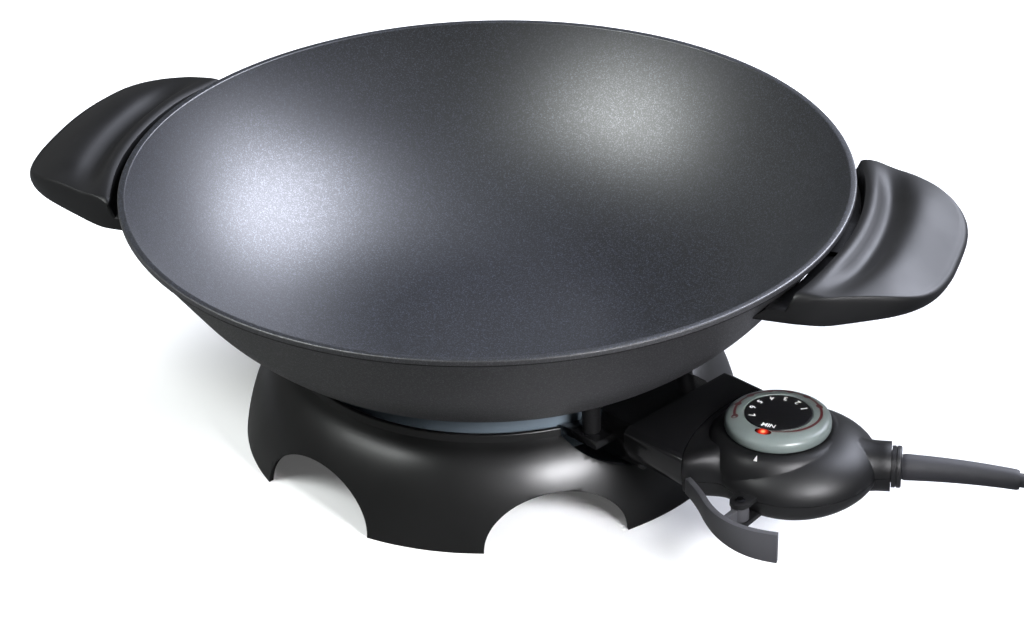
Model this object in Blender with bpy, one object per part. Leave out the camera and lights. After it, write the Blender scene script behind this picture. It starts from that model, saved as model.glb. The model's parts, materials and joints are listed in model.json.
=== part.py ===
"""Electric wok on a six-footed stand, with a plug-in thermostat controller.

The wok's axis is the Z axis and the feet stand on z = 0. The two side handles lie along X. The
terminal shroud and the controller lie along an arm that leaves the wok between two cut-outs of
the stand. Pieces on the arm are modelled in the arm's own frame: u runs outward along the arm,
v to its left and z up. All sizes are in metres.
"""

import math

import bmesh
import bpy
from mathutils import Vector

MM = 0.001
DEG = math.pi / 180

# Clearances shared by the whole assembly
GAP = 0.3 * MM
OVERRUN = 2.0 * MM
MERGE = 0.003 * MM
SHARP_ANGLE = 35.0 * DEG
CARRY = 0.8 * MM

# Facets: sides of round pieces from the finest turned face to a screw's hole
DIAL_SIDES = 36
DISC_SIDES = 24
NECK_SIDES = 20
BOSS_SIDES = 14
ROD_SIDES = 12
HOLE_SIDES = 10
ARC_STEPS = 14
CORNER_STEPS = 4
MOUTH_SIDES = 72

# Bowl: a straight cone that runs into a round bottom, with a rolled lip
RIM_RADIUS = 186.0 * MM
RIM_HEIGHT = 143.5 * MM
RIM_WIDTH = 3.8 * MM
LIP_HEIGHT = 3.4 * MM
LIP_STEP = 2.4 * MM
LIP_OVERHANG = 1.2 * MM
LIP_ROUND = 0.8 * MM
BOWL_WALL = 3.2 * MM
BOWL_FLOOR = 4.0 * MM
BOWL_BOTTOM = 51.3 * MM
BOTTOM_FLAT = 52.0 * MM
# Slope of the cone, as a share of the mean slope from the flat to the lip
WALL_SLOPE_SHARE = 2.0584
BOWL_SEGMENTS = 48
BOWL_STEPS = 5
GROOVE_STEPS = 4

# Heating element, laid in a groove of a rib under the bowl
ELEMENT_RADIUS = 72.0 * MM
ELEMENT_TUBE = 4.0 * MM
ELEMENT_RISE = 0.3 * MM
ELEMENT_BEND = 10.0 * MM
ELEMENT_STEPS = 32
BEND_STEPS = 5
RIB_WALL = 2.7 * MM
COLD_END_SPREAD = 14.0 * MM
# How far the cold ends stand out past the reflector
COLD_END_PAST = 13.5 * MM

# Posts, bosses and lugs cast onto the bowl
POST_CLEAR = 1.0 * MM
POST_RADIUS = 5.0 * MM
POSTS = 3
EAR_BOSS_RADIUS = 4.6 * MM
EAR_BOSS_CLEAR = 10.0 * MM
EAR_BOSS_V = 33.5 * MM
PROBE_BOSS_CLEAR = 6.5 * MM
PROBE_BOSS_LENGTH = 11.0 * MM
PROBE_BOSS_WIDTH = 15.0 * MM
PROBE_BOSS_DROP = 6.2 * MM
LUG_REACH = 24.0 * MM
LUG_WIDTH = 32.0 * MM
LUG_THICKNESS = 5.6 * MM
LUG_DROP = 15.5 * MM

# Heat reflector, a spun cup under the bowl
CUP_CLEAR = 4.5 * MM
CUP_SHEET = 0.9 * MM
CUP_BEND = 2.6 * MM
CUP_WINDOW = 22.0 * MM
CUP_SEGMENTS = 36
# How far a bend's middle point stands in from its corner, as a share of the bend's radius
CORNER_SHARE = 0.3

# Stand: a bell-shaped skirt with six scallops and a collar round the bowl
FOOT_SPREAD = 25.0 * MM
COLLAR_CLEAR = 10.5 * MM
COLLAR_HEIGHT = 53.0 * MM
COLLAR_BAND = 4.4 * MM
COLLAR_ROUND = 0.8 * MM
STAND_WALL = 2.6 * MM
SKIRT_SINK = 15.0 * MM
SKIRT_RISE_SHARE = 1.0377
FLANGE_INSET = 7.0 * MM
FLANGE_HEIGHT = 29.0 * MM
FLANGE_THICKNESS = 2.4 * MM
SCALLOPS = 6
SCALLOP_WIDTH = 74.0 * MM
SCALLOP_HEIGHT = 27.6 * MM
NOTCH_WIDTH = 90.0 * MM
NOTCH_DEPTH = 21.5 * MM
NOTCH_CENTRE = 50.0 * MM
STAND_SEGMENTS = 54
SKIRT_STEPS = 5
# Heights where the skirt's inner face is read, above the flange and below it
SKIRT_INNER_SHARES = (0.86, 0.72)
SKIRT_LOWER_SHARES = (0.5, 0.0)

# Arm: bearing of the shroud and controller, and the height of what plugs together
ARM_BEARING = -27.3 * DEG
PIN_SPREAD = COLD_END_SPREAD

# Terminal shroud
SHROUD_TOP = 64.5 * MM
SHROUD_HALF = 38.0 * MM
SHROUD_SHOULDER = 53.5 * MM
SHROUD_LOWER_HALF = 36.0 * MM
SHROUD_BOTTOM = 33.0 * MM
SHROUD_WALL = 2.6 * MM
SHROUD_ROUND = 4.0 * MM
SHROUD_CLEAR = 26.0 * MM
DUCT_CLEAR = 10.0 * MM
DUCT_HALF = 27.2 * MM
DUCT_TOP = 60.3 * MM
DUCT_BOTTOM = 37.4 * MM
EAR_TOP = 50.5 * MM
EAR_THICKNESS = 4.5 * MM
EAR_HALF = 40.0 * MM
EAR_CLEAR = 3.8 * MM
EAR_PAST = 9.5 * MM
MOUTH_RADIUS = 97.0 * MM
MOUTH_DEPTH = 21.0 * MM
MOUTH_V = 16.6 * MM
MOUTH_REACH_SHARE = 0.8

# Terminal pins and probe sleeve
PIN_RADIUS = 2.35 * MM
PIN_LENGTH = 35.0 * MM
BEAD_RADIUS = 4.7 * MM
BEAD_LENGTH = 4.0 * MM
SLEEVE_RADIUS = 4.7 * MM
SLEEVE_BORE = 3.5 * MM
SLEEVE_CLEAR = 2.0 * MM
SLEEVE_SEAT = 9.0 * MM

# Side handles
HANDLE_LENGTH = 56.5 * MM
HANDLE_HALF_SPAN = 74.5 * MM
HANDLE_RIM_GAP = 4.3 * MM
HANDLE_WALL_GAP = 3.6 * MM
HANDLE_DROP = 20.6 * MM
HANDLE_HEIGHT = 20.8 * MM
HANDLE_EDGE_ROUND = 3.2 * MM
HANDLE_SCREW_REACH = 16.0 * MM
HANDLE_SCREW_SINK = 3.2 * MM
# Outer outline, as shares of the half span and of the way out from the grip's inner edge
HANDLE_SPAN_SHARES = (0.0, 0.24, 0.44, 0.57, 0.67, 0.755, 0.83, 0.905, 0.97, 1.0)
HANDLE_REACH_SHARES = (1.0, 0.9893, 0.9435, 0.8761, 0.784, 0.6556, 0.4895, 0.2997, 0.1328, 0.0568)
# Top and bottom heights across the handle: share of the way out, share of the handle's height
HANDLE_TOP_SHARES = (
    (0.0, 0.88), (0.032, 0.94), (0.107, 0.94), (0.164, 0.82), (0.258, 0.72), (0.352, 0.79),
    (0.446, 0.87), (0.596, 0.82), (0.784, 0.65), (0.934, 0.48), (1.0, 0.41),
)
HANDLE_UNDER_SHARES = ((0.0, 0.0), (0.18, 0.03), (0.41, 0.09), (0.65, 0.14), (1.0, 0.17))
HANDLE_EDGE_SHARE = 0.4
# Places across a grip where its faces are read, and the curve of its outer edge
HANDLE_SAMPLE_SHARES = (0.0, 0.03, 0.11, 0.175, 0.27, 0.37, 0.47, 0.63, 0.83, 1.0)
HANDLE_UNDER_SAMPLE_SHARES = (0.0, 0.4, 0.7, 1.0)
HANDLE_EDGE_CURVE_SHARES = ((0.3, 0.78), (0.0, 0.5), (0.3, 0.2))

# Controller housing: a hood that meets the shroud and runs into a round bulb
PARTING = 51.0 * MM
BULB_SETBACK = 44.0 * MM
BULB_V = 13.0 * MM
BULB_RADIUS = 41.0 * MM
BULB_TOP = 20.5 * MM
BULB_BOTTOM = 20.0 * MM
HOOD_OVERLAP = 6.0 * MM
HOUSING_WALL = 2.4 * MM
WAIST_SETBACK = 9.0 * MM
WAIST_LENGTH = 19.0 * MM
SHOULDER_SETBACK = 6.0 * MM
SHOULDER_LENGTH = 33.0 * MM
PEDESTAL_SINK = 2.3 * MM
PEDESTAL_RADIUS = 26.4 * MM
PEDESTAL_SPREAD = 9.3 * MM
PEDESTAL_DROP = 16.0 * MM
PEDESTAL_STEPS = 5
HOOD_STEPS = 6
BULB_STEPS = 7
BULB_TIP_SHARE = 0.998
SECTION_STEPS = 12
BOX_POWER = 5.5
BULB_POWER = 2.0
KEEL_POWER = 2.15

# Contact block and what it carries
BLOCK_SETBACK = 9.5 * MM
BLOCK_PAST = 24.0 * MM
BLOCK_GRIP = 10.0 * MM
BLOCK_HALF = 22.5 * MM
BLOCK_TOP = 57.0 * MM
BLOCK_BOTTOM = 40.6 * MM
BLOCK_ROUND = 3.0 * MM
SOCKET_RADIUS = 4.2 * MM
SOCKET_LENGTH = 34.0 * MM
PROBE_RADIUS = 3.0 * MM
PROBE_SINK = 4.0 * MM
PROBE_WALL = 0.8 * MM
PUSH_ROD_RADIUS = 1.6 * MM
EARTH_STRIP_WIDTH = 7.0 * MM
EARTH_STRIP_THICKNESS = 0.8 * MM
EARTH_STRIP_REACH = 8.0 * MM
TERMINAL_TAIL = 2.5 * MM

# Dial and its mark
DIAL_SETBACK = 7.5 * MM
DIAL_OFFSET = 4.0 * MM
DIAL_RADIUS = 25.8 * MM
DIAL_THICKNESS = 8.1 * MM
DIAL_RING_INNER = 16.6 * MM
DIAL_HUB_RADIUS = 6.0 * MM
DIAL_HUB_DEPTH = 9.0 * MM
DIAL_DISC_THICKNESS = 2.4 * MM
DIAL_DISC_ROUND = 0.5 * MM
SPINDLE_RADIUS = 2.5 * MM
POINTER_BEARING = -69.5 * DEG
LAMP_CIRCLE = 18.5 * MM
LAMP_RADIUS = 2.6 * MM
# Section of the dial's ring, as shares of its width from the disc and of its height
DIAL_RING_SHARES = (
    (0.0, 0.0), (0.88, 0.0), (1.0, 0.14), (1.0, 0.42), (0.87, 0.70), (0.48, 0.91), (0.08, 1.0),
    (0.0, 0.95),
)

# Thermostat works inside the controller
FRAME_SETBACK = 4.8 * MM
FRAME_LENGTH = 25.5 * MM
FRAME_WIDTH = 28.0 * MM
FRAME_HEIGHT = 14.6 * MM
FRAME_BOTTOM = 43.0 * MM
FRAME_SHEET = 1.6 * MM
STACK_LENGTH = 7.0 * MM
STACK_WIDTH = 10.0 * MM
BLADE_WIDTH = 7.0 * MM
BLADE_THICKNESS = 0.8 * MM
BLADE_SPREAD = 4.0 * MM
CONTACT_RADIUS = 2.2 * MM
CONTACT_HEIGHT = 1.3 * MM
CONTACT_OFFSET = 6.5 * MM
RESISTOR_RADIUS = 1.6 * MM
RESISTOR_LENGTH = 8.0 * MM
REST_RADIUS = 3.0 * MM
CORE_SPREAD = 1.8 * MM
LEAD_RADIUS = 0.9 * MM
LEAD_STRAIGHT = 5.0 * MM

# Housing screws, as bosses round the bulb: bearing about the bulb and share of its radius
BOSS_BEARINGS = (-40.0 * DEG, 88.0 * DEG, 130.0 * DEG)
BOSS_RADIUS_SHARE = 0.68
BOSS_RADIUS = 5.2 * MM
HOUSING_SCREW_SEAT = 41.0 * MM
HOUSING_SCREW_LENGTH = 17.0 * MM

# Cord neck, gland and strain relief, measured from the bulb's centre along the neck
NECK_BEARING = 37.5 * DEG
NECK_RADIUS = 12.2 * MM
NECK_START = 33.0 * MM
NECK_END = 46.4 * MM
NECK_BORE = 8.1 * MM
GLAND_RADIUS = 10.2 * MM
GLAND_LENGTH = 4.8 * MM
GLAND_SPIGOT = 9.0 * MM
RELIEF_ROOT_RADIUS = 6.5 * MM
RELIEF_TIP_RADIUS = 5.0 * MM
RELIEF_LENGTH = 56.0 * MM
RELIEF_DROOP = 3.9 * MM
RELIEF_STEPS = 8
GLAND_ROUND = 0.8 * MM
CORD_RADIUS = 3.5 * MM
CLAMP_DISTANCE = 27.0 * MM
CLAMP_LENGTH = 19.0 * MM
CLAMP_WIDTH = 7.0 * MM
CLAMP_HEIGHT = 6.2 * MM
CLAMP_SPREAD = 7.0 * MM
CLAMP_POST_RADIUS = 3.2 * MM
CLAMP_SCREW_DEPTH = 6.0 * MM
JACKET_START = 22.0 * MM

# Release lever on the near side of the controller
LEVER_PIVOT_AHEAD = 6.5 * MM
LEVER_PIVOT_CLEAR = 5.6 * MM
LEVER_TOP = 56.0 * MM
LEVER_DEPTH = 15.6 * MM
LEVER_NOSE_DEPTH = 8.6 * MM
LEVER_THICKNESS = 2.8 * MM
LEVER_HUB_RADIUS = 4.4 * MM
LEVER_HUB_TOP = 50.6 * MM
LEVER_HUB_BOTTOM = 43.6 * MM
LEVER_PIN_RADIUS = 1.7 * MM
LEVER_PIN_HEAD = 2.7 * MM
LEVER_EAR_THICKNESS = 2.4 * MM
LEVER_EAR_WIDTH = 10.0 * MM
EAR_ROOT_SHARE = 0.8
# The lever's band, outward from the mouth of the shroud: places from the pivot, in u and v
LEVER_PATH = (
    (-28.6 * MM, -5.4 * MM), (-22.0 * MM, -7.8 * MM), (-14.5 * MM, -11.2 * MM),
    (-6.5 * MM, -15.4 * MM), (2.0 * MM, -18.4 * MM), (11.0 * MM, -19.4 * MM),
    (20.0 * MM, -18.2 * MM), (28.0 * MM, -15.2 * MM), (34.0 * MM, -12.0 * MM),
)

# Cord: route of the free lead from the strain relief to the coil, and on to the plug
LEAD_REACH = 72.0 * MM
LEAD_ROUTE_SHARES = (
    (0.0, 1.0), (0.1, 0.954), (0.3, 0.72), (0.52, 0.33), (0.68, 0.09), (0.78, 0.012), (0.87, 0.0),
    (1.0, 0.0),
)
COIL_LAYERS = 4
COIL_TURNS = 4.25
COIL_OUTER = 41.0 * MM
COIL_INNER = 33.5 * MM
COIL_STEP = 7.5 * MM
COIL_SIDES = 24
TAIL_REACH = 62.0 * MM
TAIL_ROUTE_SHARES = ((0.0, 0.0), (0.14, 0.0), (0.4, 0.28), (0.65, 0.76), (0.86, 1.0), (1.0, 1.0))

# Plug, lying on its side at the end of the cord
PLUG_RADIUS = 19.0 * MM
PLUG_LENGTH = 44.0 * MM
PLUG_SIDES = 28
PLUG_PIN_RADIUS = 2.4 * MM
PLUG_PIN_LENGTH = 19.0 * MM
PLUG_PIN_SPREAD = 9.5 * MM
CLIP_WIDTH = 8.0 * MM
CLIP_DEPTH = 3.0 * MM
CLIP_LENGTH = 12.0 * MM
# Outline from the cord's end to the face, as shares of the plug's radius and length
PLUG_PROFILE_SHARES = (
    (0.0, 0.0), (0.28, 0.0), (0.37, 0.38), (0.8, 0.5), (1.0, 0.63), (1.0, 1.0), (0.0, 1.0),
)

# Screws
SCREW_SHANK = 1.9 * MM
SCREW_HEAD = 3.6 * MM
SCREW_HEAD_HEIGHT = 2.2 * MM
SCREW_LENGTH = 10.0 * MM
SCREW_SIDES = 8
SMALL_SHANK = 1.3 * MM
# Head outline from its crown to its seat, as shares of the head's radius and height
SCREW_HEAD_SHARES = ((0.0, 1.0), (0.8, 1.0), (1.0, 0.6), (1.0, 0.0))

# Heights that follow from the driving sizes
LIP_BOTTOM = RIM_HEIGHT - LIP_HEIGHT
WALL_TOP_RADIUS = RIM_RADIUS - LIP_OVERHANG
WALL_REACH = WALL_TOP_RADIUS - BOTTOM_FLAT
WALL_ANGLE = math.atan(WALL_SLOPE_SHARE * (LIP_BOTTOM - BOWL_BOTTOM) / WALL_REACH)
# The round that leaves the flat level and meets the cone, whose slope ends under the lip
BOTTOM_ROUND = WALL_REACH * (1 - 1 / WALL_SLOPE_SHARE) / math.tan(WALL_ANGLE / 2)
ROUND_CENTRE = BOWL_BOTTOM + BOTTOM_ROUND
CONE_RADIUS = BOTTOM_FLAT + BOTTOM_ROUND * math.sin(WALL_ANGLE)
CONE_HEIGHT = BOWL_BOTTOM + BOTTOM_ROUND * (1 - math.cos(WALL_ANGLE))
GROOVE_RADIUS = ELEMENT_TUBE + GAP
ELEMENT_Z = BOWL_BOTTOM - ELEMENT_TUBE + ELEMENT_RISE
RIB_INNER = ELEMENT_RADIUS - GROOVE_RADIUS - RIB_WALL
RIB_OUTER = ELEMENT_RADIUS + GROOVE_RADIUS + RIB_WALL
PROBE_BOSS_START = RIB_OUTER + PROBE_BOSS_CLEAR
PROBE_BOSS_END = PROBE_BOSS_START + PROBE_BOSS_LENGTH
POST_CIRCLE = RIB_OUTER + POST_CLEAR + POST_RADIUS
CUP_RADIUS = POST_CIRCLE + POST_RADIUS + CUP_CLEAR
FLANGE_BORE = POST_CIRCLE - FLANGE_INSET
COLLAR_RADIUS = CUP_RADIUS + COLLAR_CLEAR
FOOT_RADIUS = COLLAR_RADIUS + FOOT_SPREAD
COLD_END_REACH = CUP_RADIUS + COLD_END_PAST
EAR_BOSS_U = CUP_RADIUS + EAR_BOSS_CLEAR
EAR_CLEAR_RADIUS = CUP_RADIUS + EAR_CLEAR
EAR_REACH = EAR_BOSS_U + EAR_PAST
DUCT_START = CUP_RADIUS + DUCT_CLEAR
SHROUD_START = COLLAR_RADIUS + SHROUD_CLEAR
CUP_BOTTOM = FLANGE_HEIGHT + FLANGE_THICKNESS + GAP
POST_BOTTOM = CUP_BOTTOM + CUP_SHEET + GAP
COLLAR_FOOT = COLLAR_HEIGHT - COLLAR_BAND
SKIRT_RISE = (COLLAR_FOOT + SKIRT_SINK) * SKIRT_RISE_SHARE
LUG_BOTTOM = RIM_HEIGHT - LUG_DROP
LUG_END = RIM_RADIUS + LUG_REACH
HANDLE_REACH = RIM_RADIUS + HANDLE_LENGTH
HANDLE_BOTTOM = RIM_HEIGHT - HANDLE_DROP
HANDLE_INNER_TOP = RIM_RADIUS + HANDLE_RIM_GAP
HANDLE_INNER_BOTTOM = (CONE_RADIUS + (HANDLE_BOTTOM - CONE_HEIGHT) / math.tan(WALL_ANGLE)
                       + HANDLE_WALL_GAP)
HANDLE_SCREW_U = RIM_RADIUS + HANDLE_SCREW_REACH
HANDLE_SCREW_SEAT = LUG_BOTTOM - HANDLE_SCREW_SINK
MOUTH_MEET = SHROUD_START + MOUTH_DEPTH
MOUTH_U = MOUTH_MEET + MOUTH_RADIUS
HOOD_START = MOUTH_MEET - HOOD_OVERLAP
BULB_U = MOUTH_MEET + BULB_SETBACK
WAIST_END = BULB_U - WAIST_SETBACK
WAIST_START = WAIST_END - WAIST_LENGTH
SHOULDER_END = BULB_U - SHOULDER_SETBACK
SHOULDER_START = SHOULDER_END - SHOULDER_LENGTH
PEDESTAL_HEIGHT = PARTING + BULB_TOP - PEDESTAL_SINK
DIAL_U = BULB_U - DIAL_SETBACK
DIAL_V = BULB_V - DIAL_OFFSET
DIAL_HEIGHT = PEDESTAL_HEIGHT + DIAL_THICKNESS
LEVER_PIVOT_U = BULB_U + LEVER_PIVOT_AHEAD
LEVER_PIVOT_V = BULB_V - BULB_RADIUS - LEVER_PIVOT_CLEAR
RIB_CUT_START = ELEMENT_RADIUS - ELEMENT_TUBE
RIB_CUT_HALF = COLD_END_SPREAD + ELEMENT_BEND + ELEMENT_TUBE
BLOCK_START = DUCT_START + BLOCK_SETBACK
BLOCK_END = MOUTH_MEET + BLOCK_PAST
BLOCK_OPENING_END = BLOCK_END - BLOCK_GRIP
SLEEVE_END = BLOCK_START - SLEEVE_CLEAR
PROBE_START = PROBE_BOSS_START + PROBE_SINK
FRAME_START = BLOCK_END + FRAME_SETBACK
FRAME_TOP = FRAME_BOTTOM + FRAME_HEIGHT
FIXED_BLADE_Z = ELEMENT_Z - BLADE_THICKNESS
MOVING_BLADE_Z = FIXED_BLADE_Z + BLADE_SPREAD
MOVING_BLADE_NOSE = FRAME_START + FRAME_SHEET * 2
PUSH_ROD_END = MOVING_BLADE_NOSE - GAP
SOCKET_START = BLOCK_START + GAP * 3
SOCKET_END = SOCKET_START + SOCKET_LENGTH
SOCKET_TAIL = BLOCK_END + TERMINAL_TAIL
STRIP_BOTTOM = ELEMENT_Z + SLEEVE_RADIUS + GAP
STRIP_END = BLOCK_END + TERMINAL_TAIL
DIAL_FLOOR = PEDESTAL_HEIGHT - HOUSING_WALL - OVERRUN
HOUSING_SCREW_TIP = HOUSING_SCREW_SEAT + HOUSING_SCREW_LENGTH
CLAMP_SCREW_TIP = PARTING - CLAMP_SCREW_DEPTH
SMALL_SCREW_SHARE = SMALL_SHANK / SCREW_SHANK
LEAD_START = NECK_END + GAP * 3 + GLAND_LENGTH + RELIEF_LENGTH
CORD_REST = CORD_RADIUS + GAP / 3
COIL_TOP = CORD_REST + COIL_STEP * (COIL_LAYERS - 1)

COLLECTION = bpy.context.scene.collection


def clear_scene():
    """Remove whatever the open file holds."""
    for thing in list(bpy.data.objects):
        bpy.data.objects.remove(thing, do_unlink=True)


def make_material(name, colour, roughness, metallic=0.0):
    """Return a Principled material of one colour."""
    material = bpy.data.materials.new(name)
    material.use_nodes = True
    shader = material.node_tree.nodes["Principled BSDF"]
    shader.inputs["Base Color"].default_value = (*colour, 1.0)
    shader.inputs["Roughness"].default_value = roughness
    shader.inputs["Metallic"].default_value = metallic
    material.diffuse_color = (*colour, 1.0)
    return material


def add_empty(name, parent=None, place=(0.0, 0.0, 0.0), turn=0.0):
    """Add an empty that carries pieces, turned about Z."""
    empty = bpy.data.objects.new(name, None)
    empty.parent = parent
    empty.location = place
    empty.rotation_euler = (0.0, 0.0, turn)
    COLLECTION.objects.link(empty)
    return empty


def add_object(name, shape, material=None, parent=None, place=(0.0, 0.0, 0.0), smooth=True):
    """Turn a bmesh into an object and free the bmesh."""
    mesh = bpy.data.meshes.new(name)
    bmesh.ops.remove_doubles(shape, verts=shape.verts, dist=MERGE)
    bmesh.ops.recalc_face_normals(shape, faces=shape.faces)
    shape.to_mesh(mesh)
    shape.free()
    if smooth:
        mesh.shade_smooth()
        mesh.set_sharp_from_angle(angle=SHARP_ANGLE)
    thing = bpy.data.objects.new(name, mesh)
    if material:
        mesh.materials.append(material)
    thing.parent = parent
    thing.location = place
    COLLECTION.objects.link(thing)
    return thing


def add_each(name, shapes, material, parent=None):
    """Add alike pieces as numbered objects."""
    for number, shape in enumerate(shapes, 1):
        add_object(f"{name}_{number}", shape, material, parent)


def as_cutter(thing):
    """Hide an object that only shapes its neighbours."""
    thing.hide_render = True
    thing.display_type = "WIRE"
    return thing


def combine(target, other, operation, solver="EXACT"):
    """Shape one object by another with a Boolean."""
    modifier = target.modifiers.new(other.name, "BOOLEAN")
    modifier.object = as_cutter(other)
    modifier.operation = operation
    modifier.solver = solver
    return target


def lathe(profile, segments, angle=2 * math.pi):
    """Spin a closed profile of radius and height about Z."""
    shape = bmesh.new()
    points = [shape.verts.new((radius, 0.0, height)) for radius, height in profile]
    for here, there in zip(points, points[1:]):
        shape.edges.new((here, there))
    if profile[0][0] > 0 or profile[-1][0] > 0:
        shape.edges.new((points[-1], points[0]))
    ring = list(shape.verts) + list(shape.edges)
    bmesh.ops.spin(shape, geom=ring, cent=(0, 0, 0), axis=(0, 0, 1), angle=angle,
                   steps=segments, use_merge=True)
    bmesh.ops.remove_doubles(shape, verts=shape.verts, dist=MERGE)
    return shape


def extrude_outline(outline, start, end, axis="Z"):
    """Extrude a flat outline along an axis between two places."""
    shape = bmesh.new()
    corners = []
    for first, second in outline:
        place = {"Z": (first, second, start), "X": (start, first, second)}[axis]
        corners.append(shape.verts.new(place))
    face = shape.faces.new(corners)
    step = (0, 0, end - start) if axis == "Z" else (end - start, 0, 0)
    pushed = bmesh.ops.extrude_face_region(shape, geom=[face])["geom"]
    moved = [item for item in pushed if isinstance(item, bmesh.types.BMVert)]
    bmesh.ops.translate(shape, verts=moved, vec=step)
    return shape


def block(low, high):
    """Return a box between two corners."""
    outline = [(low[0], low[1]), (high[0], low[1]), (high[0], high[1]), (low[0], high[1])]
    return extrude_outline(outline, low[2], high[2])


def rod(radius, start, end, axis="Z", centre=(0.0, 0.0), segments=ROD_SIDES):
    """Return a round rod along Z or X."""
    outline = []
    for step in range(segments):
        turn = 2 * math.pi * step / segments
        outline.append((centre[0] + radius * math.cos(turn), centre[1] + radius * math.sin(turn)))
    return extrude_outline(outline, start, end, axis)


def join_shapes(shapes):
    """Collect several bmeshes into one, as separate bodies."""
    whole = bmesh.new()
    for shape in shapes:
        mesh = bpy.data.meshes.new("part")
        shape.to_mesh(mesh)
        shape.free()
        whole.from_mesh(mesh)
        bpy.data.meshes.remove(mesh)
    return whole


def add_tube(name, points, radius, material, parent=None, place=(0.0, 0.0, 0.0), sides=2,
             tapers=None):
    """Add a tube with filled ends along a list of points."""
    curve = bpy.data.curves.new(name, "CURVE")
    curve.dimensions = "3D"
    curve.bevel_depth = radius
    curve.bevel_resolution = sides
    curve.use_fill_caps = True
    spline = curve.splines.new("POLY")
    spline.points.add(len(points) - 1)
    for index, (point, spot) in enumerate(zip(spline.points, points)):
        point.co = (*spot, 1.0)
        point.radius = tapers[index] if tapers else 1.0
    curve.materials.append(material)
    thing = bpy.data.objects.new(name, curve)
    thing.parent = parent
    thing.location = place
    COLLECTION.objects.link(thing)
    return thing


def smooth_path(route, spacing):
    """Read even points from a smooth curve through the route's own points.

    The first and last runs of the route stay whole, so that the ends are straight.
    """
    spots = [Vector(spot) for spot in route]
    padded = [2 * spots[0] - spots[1], *spots, 2 * spots[-1] - spots[-2]]
    fine = []
    samples = 40
    for index in range(1, len(padded) - 2):
        before, here, there, after = padded[index - 1:index + 3]
        for step in range(samples):
            t = step / samples
            fine.append(0.5 * (2 * here + (there - before) * t
                               + (2 * before - 5 * here + 4 * there - after) * t ** 2
                               + (3 * here - before - 3 * there + after) * t ** 3))
    fine.append(spots[-1])
    middle = fine[samples:-samples]
    length = sum((there - here).length for here, there in zip(middle, middle[1:]))
    count = max(2, round(length / spacing))
    path = [middle[0]]
    walked = 0.0
    for here, there in zip(middle, middle[1:]):
        walked += (there - here).length
        if walked >= length * len(path) / count and len(path) < count:
            path.append(there)
    return [fine[0], *path, middle[-1], fine[-1]]


def arc_points(centre, radius, start, end, steps):
    """Return points on an arc, both ends included."""
    points = []
    for step in range(steps + 1):
        turn = start + (end - start) * step / steps
        points.append((centre[0] + radius * math.cos(turn), centre[1] + radius * math.sin(turn)))
    return points


def screw_shape(place, length, upward=True, share=1.0):
    """Return a pan-head screw with its head's seat at the given place."""
    x, y, z = place
    turn = 1 if upward else -1
    shank = SCREW_SHANK * share
    profile = [(SCREW_HEAD * share * out, -SCREW_HEAD_HEIGHT * share * down)
               for out, down in SCREW_HEAD_SHARES]
    profile += [(shank, 0.0), (shank, length - shank / 2), (shank / 2, length), (0.0, length)]
    screw = lathe(profile, SCREW_SIDES)
    bmesh.ops.scale(screw, vec=(1, 1, turn), verts=screw.verts)
    bmesh.ops.translate(screw, vec=(x, y, z), verts=screw.verts)
    return screw


def smoothstep(value):
    """Ease from zero to one."""
    share = min(1.0, max(0.0, value))
    return share * share * (3 - 2 * share)


def mix(first, second, share):
    """Blend two values."""
    return first + (second - first) * share


def interpolate(table, place):
    """Read a table of pairs at a place, with straight runs between them."""
    for (x0, y0), (x1, y1) in zip(table, table[1:]):
        if place <= x1:
            return mix(y0, y1, (place - x0) / (x1 - x0))
    return table[-1][1]


def underside(radius):
    """Height of the bowl's outer face at a radius."""
    if radius <= BOTTOM_FLAT:
        return BOWL_BOTTOM
    if radius >= CONE_RADIUS:
        return CONE_HEIGHT + (radius - CONE_RADIUS) * math.tan(WALL_ANGLE)
    return ROUND_CENTRE - math.sqrt(BOTTOM_ROUND ** 2 - (radius - BOTTOM_FLAT) ** 2)


def outer_radius(height):
    """Radius of the bowl's outer cone at a height."""
    return CONE_RADIUS + (height - CONE_HEIGHT) / math.tan(WALL_ANGLE)


def skirt_radius(height):
    """Outer radius of the stand's skirt, an elliptic bell between the feet and the collar."""
    at_foot = math.sqrt(1 - (SKIRT_SINK / SKIRT_RISE) ** 2)
    at_collar = math.sqrt(1 - ((COLLAR_FOOT + SKIRT_SINK) / SKIRT_RISE) ** 2)
    here = math.sqrt(1 - ((height + SKIRT_SINK) / SKIRT_RISE) ** 2)
    share = (here - at_collar) / (at_foot - at_collar)
    return COLLAR_RADIUS + (FOOT_RADIUS - COLLAR_RADIUS) * share


def bowl_outer_profile():
    """Profile of the bowl as a filled body, from the axis under the floor to the rim."""
    profile = [(0.0, BOWL_BOTTOM), (BOTTOM_FLAT, BOWL_BOTTOM), (RIB_INNER, underside(RIB_INNER)),
               (RIB_INNER, ELEMENT_Z), (ELEMENT_RADIUS - GROOVE_RADIUS, ELEMENT_Z)]
    groove = arc_points((ELEMENT_RADIUS, ELEMENT_Z), GROOVE_RADIUS, math.pi, 0.0, GROOVE_STEPS)
    profile += groove[1:-1]
    profile += [(ELEMENT_RADIUS + GROOVE_RADIUS, ELEMENT_Z), (RIB_OUTER, ELEMENT_Z),
                (RIB_OUTER, underside(RIB_OUTER))]
    for step in range(1, BOWL_STEPS + 1):
        radius = mix(RIB_OUTER, CONE_RADIUS, step / BOWL_STEPS)
        profile.append((radius, underside(radius)))
    profile += [(WALL_TOP_RADIUS - LIP_STEP / 4, LIP_BOTTOM - LIP_STEP / 4),
                (RIM_RADIUS - LIP_ROUND / 2, LIP_BOTTOM),
                (RIM_RADIUS, LIP_BOTTOM + LIP_ROUND), (RIM_RADIUS, RIM_HEIGHT - LIP_ROUND),
                (RIM_RADIUS - LIP_ROUND, RIM_HEIGHT), (0.0, RIM_HEIGHT)]
    return profile


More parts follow.
